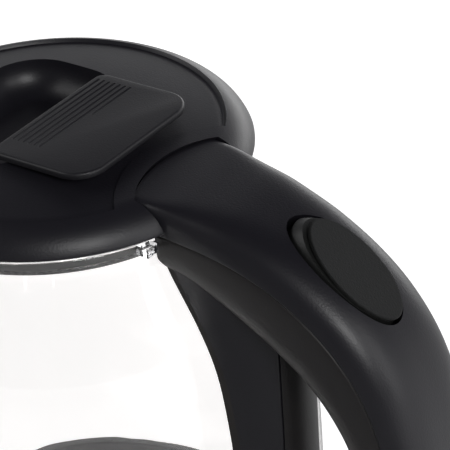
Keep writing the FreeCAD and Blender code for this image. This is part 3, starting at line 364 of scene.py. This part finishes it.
BLACK = (0.0125, 0.0118, 0.0160)
WARM_BLACK = (0.0150, 0.0132, 0.0135)
FINISH = {
    "lid_plastic": moulded("lid_plastic", BLACK, 0.40),
    "base_plastic": moulded("base_plastic", BLACK, 0.42),
    "handle_plastic": moulded("handle_plastic", BLACK, 0.40),
    "grip_plastic": moulded("grip_plastic", WARM_BLACK, 0.46),
    "tab_plastic": moulded("tab_plastic", (0.0135, 0.0130, 0.0160), 0.46),
    "rocker_plastic": moulded("rocker_plastic", (0.0150, 0.0155, 0.0150), 0.44),
    "plug_plastic": moulded("plug_plastic", (0.012, 0.012, 0.013), 0.22, grain=0.01),
    "foot_rubber": moulded("foot_rubber", (0.018, 0.018, 0.018), 0.75, grain=0.12, scale=1200.0),
    "soft_black": moulded("soft_black", (0.02, 0.02, 0.02), 0.6, grain=0.08),
    "connector_plastic": moulded("connector_plastic", (0.045, 0.045, 0.048), 0.5),
    "control_plastic": moulded("control_plastic", (0.62, 0.60, 0.54), 0.5, tone=0.05),
    "gasket_grey": moulded("gasket_grey", (0.022, 0.019, 0.018), 0.55, grain=0.03),
    "wire_sleeve": moulded("wire_sleeve", (0.42, 0.06, 0.04), 0.5, grain=0.03),
    "filter_mesh": moulded("filter_mesh", (0.035, 0.035, 0.037), 0.45),
    "screw_steel": metal("screw_steel", (0.56, 0.56, 0.55), 0.32),
    "pin_steel": metal("pin_steel", (0.62, 0.61, 0.60), 0.25),
    "spring_steel": metal("spring_steel", (0.62, 0.61, 0.60), 0.3),
    "band_steel": metal("band_steel", (0.66, 0.65, 0.64), 0.28, across=10.0, along=10.0, upright=1400.0),
    "plate_steel": metal("plate_steel", (0.72, 0.71, 0.70), 0.3, across=700.0, along=9.0),
    "contact_brass": metal("contact_brass", (0.78, 0.56, 0.26), 0.22),
    "element_alloy": metal("element_alloy", (0.55, 0.54, 0.52), 0.45),
    "jug_glass": clear("jug_glass", (0.998, 0.990, 0.985), 0.0),
    "light_guide": clear("light_guide", (0.92, 0.95, 0.98), 0.35),
    "clear_silicone": clear("clear_silicone", (0.90, 0.885, 0.86), 0.3, ior=1.42),
    "clip_plastic": clear("clip_plastic", (0.85, 0.85, 0.86), 0.08),
}
# Painted light: the heater plate's steel glows by itself, so it reads bright through the glass as if lit by the
# room.
plate_glow = FINISH["plate_steel"].node_tree.nodes["Principled BSDF"]
plate_glow.inputs["Emission Color"].default_value = (1.0, 0.99, 0.98, 1)
plate_glow.inputs["Emission Strength"].default_value = 0.75
print(len(FINISH), "finishes")

# %% [markdown]
# ## Tools for modelling
# Every piece below starts as a primitive, is shaped in edit mode and is left with its place in its mesh.
# Turned parts are a chain of points swung round an axis, as on a lathe. What is cut away is a second
# shape, taken off by a Boolean modifier that is applied at once.

# %% modelling helpers
HINGE = next(j for j in frame["joints"] if j["name"] == "lid_hinge")["pos_m"]
LID_Z = LID_PLANE
LIP_Z = LID_Z - 0.0097
MM = 0.001


def only(obj):
    bpy.ops.object.select_all(action="DESELECT")
    obj.select_set(True)
    bpy.context.view_layer.objects.active = obj


def edit(obj):
    only(obj)
    bpy.ops.object.mode_set(mode="EDIT")
    bpy.ops.mesh.select_all(action="SELECT")


def done():
    bpy.ops.object.mode_set(mode="OBJECT")
    return bpy.context.object


def settle(obj):
    """Leaves the object at the origin, unturned and unscaled, with its place in its mesh."""
    only(obj)
    bpy.ops.object.transform_apply(location=True, rotation=True, scale=True)
    return obj


def tidy_mesh(obj, gap=1e-6):
    edit(obj)
    bpy.ops.mesh.remove_doubles(threshold=gap)
    bpy.ops.mesh.normals_make_consistent(inside=False)
    return done()


def apply_modifier(obj, kind, **values):
    only(obj)
    made = obj.modifiers.new(kind.lower(), kind)
    for key, value in values.items():
        setattr(made, key, value)
    bpy.ops.object.modifier_apply(modifier=made.name)
    return obj


def combine(obj, other, how):
    """UNION, DIFFERENCE or INTERSECT with another mesh, which is then removed."""
    apply_modifier(obj, "BOOLEAN", operation=how, object=other, solver="MANIFOLD")
    bpy.data.objects.remove(other)
    return obj


def arc(cx, cz, radius, start, end, count):
    """Points on a circular arc in the lathe's plane, in millimetres and degrees."""
    turns = [math.radians(start + (end - start) * i / count) for i in range(count + 1)]
    return [(cx + radius * math.cos(a), cz + radius * math.sin(a)) for a in turns]


def chain(points):
    """A chain of edges through points in metres, grown one corner at a time from a single corner."""
    bpy.ops.object.select_all(action="DESELECT")
    bpy.ops.mesh.primitive_plane_add(size=0.001)
    edit(bpy.context.object)
    bpy.ops.mesh.select_mode(type="VERT")
    bpy.ops.mesh.merge(type="CENTER")
    bpy.ops.transform.translate(value=points[0])
    for last, point in zip(points, points[1:]):
        step = [b - a for a, b in zip(last, point)]
        bpy.ops.mesh.extrude_region_move(TRANSFORM_OT_translate={"value": step})
    return bpy.context.object


def lathe(profile, steps, base_z=0.0):
    """Closed turned piece from (radius, height) points in millimetres above base_z."""
    on_axis = profile[0][0] == 0 and profile[-1][0] == 0
    profile = profile if on_axis else profile + profile[:1]
    obj = chain([(r * MM, 0.0, base_z + z * MM) for r, z in profile])
    bpy.ops.mesh.select_all(action="SELECT")
    bpy.ops.mesh.spin(steps=steps, angle=2 * math.pi, center=(0, 0, 0), axis=(0, 0, 1))
    done()
    return tidy_mesh(obj)


def block(x0, x1, y0, y1, z0, z1):
    """Box between two corners, in metres."""
    bpy.ops.object.select_all(action="DESELECT")
    bpy.ops.mesh.primitive_cube_add(size=1.0, location=((x0 + x1) / 2, (y0 + y1) / 2, (z0 + z1) / 2),
                                    scale=(x1 - x0, y1 - y0, z1 - z0))
    return settle(bpy.context.object)


def bevel_where(obj, wanted, width, segments):
    """Rounds the edges whose two ends both pass a test on their position."""
    edit(obj)
    bpy.ops.mesh.select_mode(type="EDGE")
    bpy.ops.mesh.select_all(action="DESELECT")
    done()
    for e in obj.data.edges:
        a, b = (obj.data.vertices[i].co for i in e.vertices)
        e.select = bool(wanted(a, b))
    bpy.ops.object.mode_set(mode="EDIT")
    bpy.ops.mesh.bevel(offset=width, segments=segments, affect="EDGES")
    return done()


def count(obj):
    return f"{obj.name}: {len(obj.data.polygons)} faces"


print("lid plane at", round(LID_Z, 4))

# %% [markdown]
# ## Lid
# The lid is a round moulded cap: a low dome, a fine step, a raised outer band and a rounded shoulder that
# turns down into the skirt. It is turned on the lathe as a closed wall. A flat border stands round the
# notch for the handle, and a deep finger well is sunk into the dome.

# %% lid cap
DOME_RISE, STEP_IN, STEP_OUT = 3.5, 50.7, 51.8
SHOULDER_X, SHOULDER_Z, SHOULDER_R = 48.5, -10.7, 12.0
SKIRT_ANGLE, BAND_ANGLE = 18.5, 74.0
LID_WALL = 2.4
WELL = (-33.5, 8.0, 30.5, -8.6)
WELL_CORNER, WELL_FLOOR = 15.0, 9.0


def dome(radius, lift=0.0):
    return DOME_RISE * (1 - (radius / STEP_IN) ** 2) + lift


def lid_profile():
    top = [(i * 2.2, dome(i * 2.2)) for i in range(23)]
    top += [(50.2, dome(50.2)), (50.75, -0.22), (51.15, -0.12), (51.5, 0.45)]
    band = arc(SHOULDER_X, SHOULDER_Z, SHOULDER_R, BAND_ANGLE, SKIRT_ANGLE + 2, 22)
    lip = [(59.75, -6.95), (59.3, -7.15), (58.6, -7.1)]
    inside = arc(SHOULDER_X, SHOULDER_Z, SHOULDER_R - LID_WALL, SKIRT_ANGLE + 4, BAND_ANGLE, 8)
    under = [(r, dome(r) - LID_WALL) for r in (48, 40, 32, 24, 16, 8, 0)]
    return top + band + lip + inside + under


def notch_border():
    """Raised border beside the handle: a shallow lens of the band's height, cut to a ring round the notch."""
    profile = [(0, 3.0), (20, 2.9), (30, 2.55), (36, 2.15), (42, 1.72), (46, 1.47)]
    profile += arc(SHOULDER_X, SHOULDER_Z, SHOULDER_R, 90, BAND_ANGLE, 5)
    profile += [(51.6, 0.2), (51.2, -1.6), (0, -1.6)]
    lens = lathe(profile, 192, LID_Z)
    bpy.ops.object.select_all(action="DESELECT")
    bpy.ops.mesh.primitive_cylinder_add(vertices=256, radius=37.8 * MM, depth=0.03,
                                        location=(72.5 * MM, 0, LID_Z))
    return combine(lens, settle(bpy.context.object), "INTERSECT")


def well_cutter(grow, top):
    x0, x1, half, floor = WELL
    cutter = block((x0 - grow) * MM, (x1 + grow) * MM, -(half + grow) * MM, (half + grow) * MM,
                   LID_Z + (floor - grow) * MM, LID_Z + top * MM)
    bevel_where(cutter, lambda a, b: abs(a.z - b.z) > 0.004, (WELL_CORNER + grow) * MM, 16)
    low = LID_Z + (floor - grow) * MM
    bevel_where(cutter, lambda a, b: abs(a.z - low) < 1e-6 and abs(b.z - low) < 1e-6,
                (WELL_FLOOR + grow) * MM, 10)
    return cutter


def notch_cutters(gap, side):
    """Room for the handle's end: a round belly about the hinge line and a straight box behind it."""
    half = 19.4 + side
    r_mid = math.hypot(HINGE[0] / MM - 40.7, 5.9) + gap
    r_end = math.hypot(HINGE[0] / MM - 47.3, 5.9) + gap
    sag = r_mid - r_end
    bow = (half ** 2 + sag ** 2) / (2 * sag)
    rows = [(0.0, -half)]
    for i in range(25):
        y = -half + 2 * half * i / 24
        rows.append((r_mid - bow + math.sqrt(bow ** 2 - y ** 2), y))
    rows.append((0.0, half))
    belly = chain([((HINGE[0] - r * MM), y * MM, HINGE[2]) for r, y in rows])
    bpy.ops.mesh.select_all(action="SELECT")
    bpy.ops.mesh.spin(steps=96, angle=2 * math.pi, center=(HINGE[0], 0, HINGE[2]), axis=(0, 1, 0))
    done()
    belly = tidy_mesh(belly)
    behind = block(HINGE[0], 0.16, -half * MM, half * MM, LID_Z - 0.19, LID_Z + 0.02)
    return belly, behind


def well_cup():
    """Wall of the finger well: the well moved outwards, cut off just under the dome."""
    under = [(r, dome(r) - 0.4) for r in range(0, 49, 4)] + [(49.0, -13.0), (0, -13.0)]
    return combine(lathe(under, 160, LID_Z), well_cutter(1.8, 14.0), "INTERSECT")


def make_lid_cap():
    cap = lathe(lid_profile(), 224, LID_Z)
    combine(cap, notch_border(), "UNION")
    combine(cap, well_cup(), "UNION")
    combine(cap, well_cutter(0.0, 14.0), "DIFFERENCE")
    for cutter in notch_cutters(0.5, 0.15):
        combine(cap, cutter, "DIFFERENCE")
    for side in (-1, 1):
        combine(cap, block(0.0215, 0.030, side * 0.009 - 0.0035, side * 0.009 + 0.0035,
                           LID_Z - 0.012, LID_Z + 0.006), "DIFFERENCE")
    return cap


lid_cap = make_lid_cap()
print(count(lid_cap))

# %% [markdown]
# ## Finger tab
# A thin plate floats over the dome and slides towards the handle to free the latch. It is a cube with
# rounded corners and softened edges; round rods sunk into its top leave the row of fine grip grooves.

# %% latch tab
TAB_X, TAB_LEN, TAB_HALF, TAB_T, TAB_TOP = -0.2, 35.4, 25.8, 2.1, 5.6
TAB_TILT = math.radians(2.6)
GROOVES, GROOVE_PITCH = 7, 1.95


def turn(obj, angle, centre, axis="Y"):
    """Turns all of a mesh about an axis through a point; positive lifts the handle side."""
    edit(obj)
    bpy.ops.transform.rotate(value=angle, orient_axis=axis, center_override=centre)
    return done()


def groove_rod(x, y0, y1, top):
    bpy.ops.object.select_all(action="DESELECT")
    bpy.ops.mesh.primitive_cylinder_add(vertices=20, radius=0.62 * MM, depth=(y1 - y0) * MM,
                                        location=(x * MM, (y0 + y1) / 2 * MM, top + 0.40 * MM),
                                        rotation=(math.pi / 2, 0, 0))
    rod = settle(bpy.context.object)
    return bevel_where(rod, lambda a, b: abs(a.y - b.y) < 1e-6, 0.5 * MM, 3)


def make_latch_tab():
    top = LID_Z + TAB_TOP * MM
    x0, x1 = TAB_X * MM, (TAB_X + TAB_LEN) * MM
    plate = block(x0, x1, -TAB_HALF * MM, TAB_HALF * MM, top - TAB_T * MM, top)
    bevel_where(plate, lambda a, b: abs(a.z - b.z) > 0.001 and a.x > x1 - 1e-5, 9.0 * MM, 14)
    bevel_where(plate, lambda a, b: abs(a.z - b.z) > 0.001 and a.x < x0 + 1e-5, 3.2 * MM, 8)
    bevel_where(plate, lambda a, b: min(a.z, b.z) > top - 1e-6, 0.75 * MM, 4)
    bevel_where(plate, lambda a, b: max(a.z, b.z) < top - TAB_T * MM + 1e-6, 0.45 * MM, 2)
    for i in range(GROOVES):
        start = -17.5 if i < GROOVES - 1 else 4.0
        rod = groove_rod(TAB_X + 2.2 + i * GROOVE_PITCH, start, 22.5, top)
        combine(plate, rod, "DIFFERENCE")
    return plate


latch_tab = make_latch_tab()
before = max(v.co.z for v in latch_tab.data.vertices if v.co.x > 0.03)
turn(latch_tab, TAB_TILT, (TAB_X * MM, 0, LID_Z + TAB_TOP * MM))
after = max(v.co.z for v in latch_tab.data.vertices if v.co.x > 0.03)
if after < before:
    turn(latch_tab, -2 * TAB_TILT, (TAB_X * MM, 0, LID_Z + TAB_TOP * MM))
for side in (-1, 1):
    stem = block(0.022, 0.026, side * 0.009 - 0.003, side * 0.009 + 0.003, LID_Z - 0.0136, LID_Z + 0.0052)
    combine(latch_tab, stem, "UNION")
print(count(latch_tab))

# %% [markdown]
# ## Jug
# The jug is blown glass with an even wall, a short straight neck and a full belly. Its closed wall is
# turned on the lathe, inside and outside in one chain. The pouring lip is then pulled out of the rim with
# a soft falloff, as it is pulled from the hot glass.

# %% glass jug
GLASS_WALL = 3.2
JUG_WALL = [(56.0, -7.0), (58.66, -12.79), (61.67, -18.41), (64.72, -24.0), (67.46, -29.76), (69.66, -35.74),
            (71.25, -41.91), (72.29, -48.2), (73.01, -54.53), (73.62, -60.87), (74.12, -67.23), (74.48, -73.59),
            (74.73, -79.96), (74.91, -86.33), (75.05, -92.71), (75.18, -99.08), (75.26, -105.45),
            (75.28, -111.83), (75.21, -118.2), (75.02, -124.57), (74.7, -130.94), (74.25, -137.3),
            (73.71, -143.65), (73.11, -149.99), (72.45, -156.33), (71.75, -162.67), (71.0, -169.0)]


def finer(points, parts=2):
    """Adds points between the given ones on a smooth curve through them."""
    made = []
    last = len(points) - 1
    for i in range(last):
        p0, p1, p2, p3 = (points[max(0, min(last, i + k))] for k in (-1, 0, 1, 2))
        for j in range(parts):
            t = j / parts
            made.append(tuple(0.5 * (2 * b + (c - a) * t + (2 * a - 5 * b + 4 * c - d) * t * t
                                     + (3 * b - a - 3 * c + d) * t ** 3) for a, b, c, d in zip(p0, p1, p2, p3)))
    return made + [points[last]]


def make_jug():
    wall = finer(JUG_WALL)
    rim_r = 56.0 - GLASS_WALL / 2
    rim = [(rim_r + 1.6 * math.cos(a), -1.6 + 1.6 * math.sin(a)) for a in (math.pi * i / 10 for i in range(11))]
    outside = [(56.0, -3.8)] + wall
    inside = [(r - GLASS_WALL, z) for r, z in reversed(wall)] + [(56.0 - GLASS_WALL, -3.8)]
    profile = list(reversed(rim)) + outside + inside
    obj = lathe(profile, 192, LIP_Z)
    edit(obj)
    bpy.ops.mesh.select_all(action="DESELECT")
    done()
    for v in obj.data.vertices:
        v.select = v.co.x < -0.0505 and v.co.z > LIP_Z - 0.0035
    bpy.ops.object.mode_set(mode="EDIT")
    bpy.ops.transform.translate(value=(-0.0115, 0, 0), use_proportional_edit=True,
                                proportional_edit_falloff="SMOOTH", proportional_size=0.026)
    return done()


jug = make_jug()
print(count(jug))

# %% [markdown]
# ## Handle
# The handle is two moulded half shells that meet along a parting line below the crown. Its section grows
# rounder and narrower from the lid down to the foot, so each shell is skinned through its own row of
# sections, which no single extrusion follows. The lid's end is then trimmed to a round belly about the
# hinge, so that the lid can swing past it, and the oval hole for the switch is cut.

# %% handle sections
HANDLE_ROWS = [
    (36.0, 0.7, 38.0, -23.0, 19.4, 20.0), (48.0, 0.7, 50.0, -23.2, 19.4, 20.0),
    (60.0, 0.5, 61.5, -24.5, 19.4, 8.0), (76.0, -0.9, 73.0, -30.0, 19.5, 4.6),
    (92.0, -5.3, 80.5, -34.5, 19.5, 3.6), (106.0, -12.6, 89.0, -39.5, 19.4, 3.3),
    (117.0, -21.8, 97.5, -46.0, 19.1, 3.2), (126.0, -34.0, 104.6, -54.5, 18.7, 3.1),
    (132.0, -49.0, 110.0, -64.8, 18.2, 3.0), (135.8, -68.0, 113.4, -78.5, 17.7, 3.0),
    (137.3, -90.0, 114.8, -95.0, 17.2, 3.0), (136.2, -113.0, 113.6, -112.0, 16.7, 3.0),
    (131.2, -134.5, 109.6, -127.5, 16.3, 3.0), (121.0, -152.5, 101.5, -140.5, 16.0, 3.1),
    (106.0, -166.0, 90.5, -150.0, 15.8, 3.3), (84.0, -171.5, 79.0, -153.5, 15.6, 4.0)]
PARTING, PARTING_GAP = 9.3, 0.15
PALM_POWER = 3.2


def even_points(outline, number):
    """The same number of points on any outline, at equal distances."""
    run = [0.0]
    for (u0, v0), (u1, v1) in zip(outline, outline[1:]):
        run.append(run[-1] + math.hypot(u1 - u0, v1 - v0))
    picked = []
    at = 0
    for i in range(number):
        goal = run[-1] * i / (number - 1)
        while at < len(run) - 2 and run[at + 1] < goal:
            at += 1
        share = (goal - run[at]) / max(run[at + 1] - run[at], 1e-9)
        (u0, v0), (u1, v1) = outline[at], outline[at + 1]
        picked.append((u0 + (u1 - u0) * share, v0 + (v1 - v0) * share))
    return picked


def half_section(half_d, half_w, power, crown_side, edge):
    """One shell's section: part of a rounded box, closed by a flat face with rounded edges."""
    cut = half_d - PARTING - (0.0 if crown_side else PARTING_GAP)
    way = 1 if crown_side else -1
    level = (cut + way * edge) / half_d
    start = math.asin(math.copysign(abs(level) ** (power / 2), level))
    outline = []
    for i in range(401):
        a = start + (math.pi - 2 * start) * i / 400 if crown_side else start - (math.pi + 2 * start) * i / 400
        c, s = math.cos(a), math.sin(a)
        outline.append((math.copysign(abs(c) ** (2 / power), c) * half_w,
                        math.copysign(abs(s) ** (2 / power), s) * half_d))
    points = even_points(outline, 64)
    turn_in = []
    for i in range(1, 5):
        a = math.pi / 2 * i / 4
        turn_in.append((outline[-1][0] + edge * (1 - math.cos(a)), outline[-1][1] - way * edge * math.sin(a)))
    back = [(-u, v) for u, v in reversed(turn_in)]
    return points + turn_in + back


def skin_rows(name, crown_side, edge):
    """Closed solid through the sections of one shell."""
    corners, faces = [], []
    rows = finer(HANDLE_ROWS, 8)
    for cx, cz, px, pz, half_w, power in rows:
        power = power if crown_side else min(power, PALM_POWER)
        mid_x, mid_z = (cx + px) / 2, (cz + pz) / 2
        length = math.hypot(cx - px, cz - pz)
        nx, nz = (cx - px) / length, (cz - pz) / length
        ring = half_section(length / 2, half_w, power, crown_side, edge)
        corners += [((mid_x + nx * v) * MM, u * MM, LID_Z + (mid_z + nz * v) * MM) for u, v in ring]
    size = len(ring)
    for row in range(len(rows) - 1):
        for i in range(size):
            j = (i + 1) % size
            faces.append((row * size + i, row * size + j, (row + 1) * size + j, (row + 1) * size + i))
    faces.append(tuple(range(size)))
    faces.append(tuple(reversed(range((len(rows) - 1) * size, len(rows) * size))))
    mesh = bpy.data.meshes.new(name)
    mesh.from_pydata(corners, [], faces)
    obj = bpy.data.objects.new(name, mesh)
    bpy.context.scene.collection.objects.link(obj)
    return tidy_mesh(obj)


def handle_limits():
    """Round belly about the hinge and everything behind it."""
    belly, behind = notch_cutters(0.0, 1.0)
    return combine(belly, behind, "UNION")


def switch_local(obj):
    """Moves a piece modelled about the origin to the switch: its X down the handle, its Z out of it."""
    only(obj)
    obj.rotation_euler = (0, SWITCH_TILT, 0)
    obj.location = SWITCH_AT
    return settle(obj)


def oval_hole():
    bpy.ops.object.select_all(action="DESELECT")
    bpy.ops.mesh.primitive_cylinder_add(vertices=160, radius=1.0, depth=1.0)
    hole = bpy.context.object
    hole.scale = (20.5 * MM, 10.4 * MM, 21 * MM)
    settle(hole)
    edit(hole)
    bpy.ops.transform.translate(value=(0, 0, 1.5 * MM))
    done()
    return switch_local(hole)


def jug_room(play):
    """The jug's solid shape grown by a clearance, and the room above its lip."""
    outer = [(0.0, 12.0), (56.0 + play, 12.0), (56.0 + play, -5.0)]
    return lathe(outer + [(r + play, z) for r, z in finer(JUG_WALL)] + [(0, -169.0)], 256, LIP_Z)


SWITCH_TILT = math.radians(31.6)
SWITCH_AT = (0.1037, 0.0, LID_Z - 0.0122)
outer_shell = skin_rows("handle_crown", True, 0.3)
combine(outer_shell, handle_limits(), "INTERSECT")
combine(outer_shell, oval_hole(), "DIFFERENCE")
inner_shell = skin_rows("handle_palm", False, 0.5)
combine(inner_shell, handle_limits(), "INTERSECT")
combine(inner_shell, jug_room(0.35), "DIFFERENCE")
print(count(outer_shell), count(inner_shell))

# %% [markdown]
# ## Strap
# A strap joins the handle to the glass. Seen from above it has straight sides and a half-oval nose, so it
# is a box joined to a squashed cylinder. A soft gasket lies between it and the glass, and its nose is a
# separate cover that leaves a fine seam.

# %% strap, cover and gasket
STRAP_TOP, STRAP_BOTTOM = -11.0, -167.0
STRAP_X, STRAP_HALF, STRAP_NOSE = 64.0, 17.5, 24.5
GASKET_PLAY, GASKET_T = 0.35, 2.0
SEAM_X, SEAM_W = 85.5, 0.35


def strap_solid():
    bpy.ops.object.select_all(action="DESELECT")
    middle = LID_Z + (STRAP_TOP + STRAP_BOTTOM) / 2 * MM
    bpy.ops.mesh.primitive_cylinder_add(vertices=192, radius=1.0, depth=(STRAP_TOP - STRAP_BOTTOM) * MM,
                                        location=(STRAP_X * MM, 0, middle))
    nose = bpy.context.object
    nose.scale = (STRAP_NOSE * MM, STRAP_HALF * MM, 1.0)
    settle(nose)
    straight = block(0.03, STRAP_X * MM, -STRAP_HALF * MM, STRAP_HALF * MM,
                     LID_Z + STRAP_BOTTOM * MM, LID_Z + STRAP_TOP * MM)
    return combine(nose, straight, "UNION")


def half_space(x0, x1):
    return block(x0 * MM, x1 * MM, -0.05, 0.05, 0.03, 0.30)


def make_strap():
    body = combine(strap_solid(), jug_room(GASKET_PLAY + GASKET_T), "DIFFERENCE")
    combine(body, half_space(SEAM_X - SEAM_W, 120), "DIFFERENCE")
    cover = combine(strap_solid(), half_space(SEAM_X, 120), "INTERSECT")
    gasket = combine(strap_solid(), jug_room(GASKET_PLAY), "DIFFERENCE")
    combine(gasket, jug_room(GASKET_PLAY + GASKET_T), "INTERSECT")
    return body, cover, gasket


strap_body, strap_cover, strap_gasket = make_strap()
print(count(strap_body), count(strap_cover), count(strap_gasket))

# %% [markdown]
# ## Rocker
# The switch's button is a tall oval cap that leans with the handle. It is a stack of oval rings, bridged
# one to the next: a straight skirt, a small rounded edge and a shallow dish. A fine moulded ring marks the
# end that is pressed.

# %% rocker button
RINGS = [(0.3, -4.5, 2.9, 18.9, 9.8), (0.3, -1.5, 2.9, 18.9, 9.8), (1.5, 0.3, 5.2, 18.05, 9.45),
         (2.3, 1.15, 7.0, 17.55, 9.25), (2.4, 1.45, 7.35, 17.42, 9.17), (2.45, 1.66, 7.35, 17.2, 9.05),
         (2.45, 1.74, 7.35, 16.9, 8.8), (2.45, 1.72, 7.35, 16.5, 8.5), (2.45, 1.58, 7.35, 15.9, 8.05),
         (2.45, 1.38, 7.35, 14.5, 7.3), (2.45, 1.14, 7.35, 11.8, 6.0), (2.45, 0.98, 7.35, 8.4, 4.3),
         (2.45, 0.88, 7.35, 4.2, 2.2)]


def ring_at(s, n, lean, long_half, short_half):
    bpy.ops.object.select_all(action="DESELECT")
    bpy.ops.mesh.primitive_circle_add(vertices=128, radius=1.0)
    ring = bpy.context.object
    ring.scale = (long_half * MM, short_half * MM, 1.0)
    ring.rotation_euler = (0, math.radians(lean), 0)
    ring.location = (s * MM, 0, n * MM)
    return settle(ring)


def make_rocker():
    rings = [ring_at(*row) for row in RINGS]
    bpy.ops.object.select_all(action="DESELECT")
    for ring in rings:
        ring.select_set(True)
    bpy.context.view_layer.objects.active = rings[0]
    bpy.ops.object.join()
    edit(rings[0])
    bpy.ops.mesh.select_mode(type="EDGE")
    bpy.ops.mesh.select_all(action="SELECT")
    bpy.ops.mesh.bridge_edge_loops(type="SINGLE")
    bpy.ops.mesh.select_all(action="SELECT")
    bpy.ops.mesh.fill_holes(sides=0)
    done()
    button = tidy_mesh(rings[0])
    return switch_local(button)


def make_ring_mark():
    bpy.ops.object.select_all(action="DESELECT")
    bpy.ops.mesh.primitive_torus_add(major_radius=1.35 * MM, minor_radius=0.16 * MM, major_segments=48,
                                     minor_segments=10, location=(13.4 * MM, 0, 0.12 * MM),
                                     rotation=(0, math.radians(7.35), 0))
    return switch_local(settle(bpy.context.object))


rocker = make_rocker()
ring_mark = make_ring_mark()
print(count(rocker))

# %% [markdown]
# ## Foot and power base
# The kettle's collar, its steel band and the base's top shell are turned parts. Each is a closed wall on
# the lathe with its rims rounded; the band sits in a groove of the collar. The hole for the cord inlet is
# bored through the base's rim afterwards.

# %% collar, band and base shell
FOOT_Z, FOOT_R, FOOT_TOP = 24.0, 75.0, 62.0
BAND_LOW, BAND_HIGH, BAND_DEPTH = 33.0, 50.0, 0.6


def make_collar():
    r = FOOT_R
    profile = arc(r - 1.2, FOOT_Z + 1.2, 1.2, -90, 0, 5) + [(r, BAND_LOW - 0.1), (r - BAND_DEPTH, BAND_LOW - 0.1)]
    profile += [(r - BAND_DEPTH, BAND_HIGH + 0.1), (r, BAND_HIGH + 0.1)]
    profile += arc(r - 1.2, FOOT_TOP - 1.2, 1.2, 0, 90, 6) + arc(71.9, FOOT_TOP - 0.5, 0.5, 90, 180, 4)
    profile += [(71.4, 50.0), (68.1, 50.0), (68.1, 47.0), (72.4, 47.0), (72.4, FOOT_Z)]
    return lathe(profile, 256)


def make_band():
    outside = FOOT_R + 0.2
    low, high = BAND_LOW + 0.3, BAND_HIGH - 0.3
    profile = arc(outside - 0.3, low, 0.3, -90, 0, 4) + arc(outside - 0.3, high, 0.3, 0, 90, 4)
    return lathe(profile + [(FOOT_R - BAND_DEPTH, high + 0.3), (FOOT_R - BAND_DEPTH, low - 0.3)], 256)


def make_base_shell():
    profile = arc(16.2, 23.0, 0.5, 180, 90, 4) + arc(70.0, 16.5, 7.0, 90, 0, 14) + arc(76.5, 5.1, 0.5, 0, -90, 3)
    profile += [(74.6, 4.6)] + arc(70.0, 16.5, 4.6, 0, 90, 8) + [(15.7, 21.1)]
    shell = lathe(profile, 256)
    bpy.ops.object.select_all(action="DESELECT")
    away = math.radians(140)
    bpy.ops.mesh.primitive_cylinder_add(vertices=64, radius=5.5 * MM, depth=0.03, rotation=(0, math.pi / 2, away),
                                        location=(0.075 * math.cos(away), 0.075 * math.sin(away), 0.0107))
    return combine(shell, settle(bpy.context.object), "DIFFERENCE")


collar, band, base_shell = make_collar(), make_band(), make_base_shell()
print(count(collar), count(band), count(base_shell))

# %% [markdown]
# ## Smoothed CAD pieces
# A CAD node comes as loose triangles. Where its shape is right as it is, a copy has its doubles merged and
# is shaded smooth up to an angle, so that the curved faces read as one skin.


# %% smooth copies
def finish_piece(obj, name, body, slot, nodes, angle=30.0):
    """Names a piece, gives it its finish, says what it rides on, and hides the CAD nodes it takes the place of."""
    obj.name = name
    obj.data.name = name
    obj.data.materials.clear()
    obj.data.materials.append(FINISH[slot])
    only(obj)
    bpy.ops.object.shade_smooth_by_angle(angle=math.radians(angle))
    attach(obj, body)
    if nodes:
        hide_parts(*nodes)
    return obj


def smooth_copy(name, angle=30.0):
    piece = bpy.data.objects.new(name + "_skin", frame["nodes"][name].data.copy())
    bpy.context.scene.collection.objects.link(piece)
    only(piece)
    bpy.ops.object.mode_set(mode="EDIT")
    bpy.ops.mesh.select_all(action="SELECT")
    bpy.ops.mesh.remove_doubles(threshold=1e-6)
    bpy.ops.object.mode_set(mode="OBJECT")
    return finish_piece(piece, name + "_skin", BODY_OF[name], SLOT_OF[name], [name], angle)


finish_piece(lid_cap, "lid_cap", "lid", "lid_plastic", ["lid_top_shell"], 32)
finish_piece(latch_tab, "latch_tab", "latch", "tab_plastic", ["lid_latch_tab"], 32)
finish_piece(jug, "jug", "kettle", "jug_glass", ["glass_jug"], 50)
finish_piece(outer_shell, "handle_crown", "kettle", "handle_plastic", ["handle_outer_shell"], 32)
finish_piece(inner_shell, "handle_palm", "kettle", "grip_plastic", ["handle_inner_shell"], 32)
finish_piece(rocker, "rocker", "rocker", "rocker_plastic", ["switch_rocker"], 40)
finish_piece(ring_mark, "rocker_mark", "rocker", "connector_plastic", [], 40)
finish_piece(strap_body, "strap_body", "kettle", "handle_plastic", ["handle_strap"], 32)
finish_piece(strap_cover, "strap_nose", "kettle", "grip_plastic", ["strap_cover"], 32)
finish_piece(strap_gasket, "strap_seal", "kettle", "gasket_grey", ["strap_gasket"], 32)
finish_piece(collar, "foot_collar", "kettle", "base_plastic", ["bottom_collar"], 32)
finish_piece(band, "foot_band", "kettle", "band_steel", ["collar_band"], 32)
finish_piece(base_shell, "base_shell", "base", "base_plastic", ["base_upper_shell"], 32)
MODELLED = {"bottom_collar", "collar_band", "base_upper_shell", "lid_top_shell", "lid_latch_tab",
            "glass_jug", "handle_outer_shell", "handle_inner_shell",
            "switch_rocker", "handle_strap", "strap_cover", "strap_gasket"}
for name in sorted(frame["nodes"]):
    if name not in MODELLED:
        smooth_copy(name)
print("smoothed", len(frame["nodes"]) - len(MODELLED), "nodes")
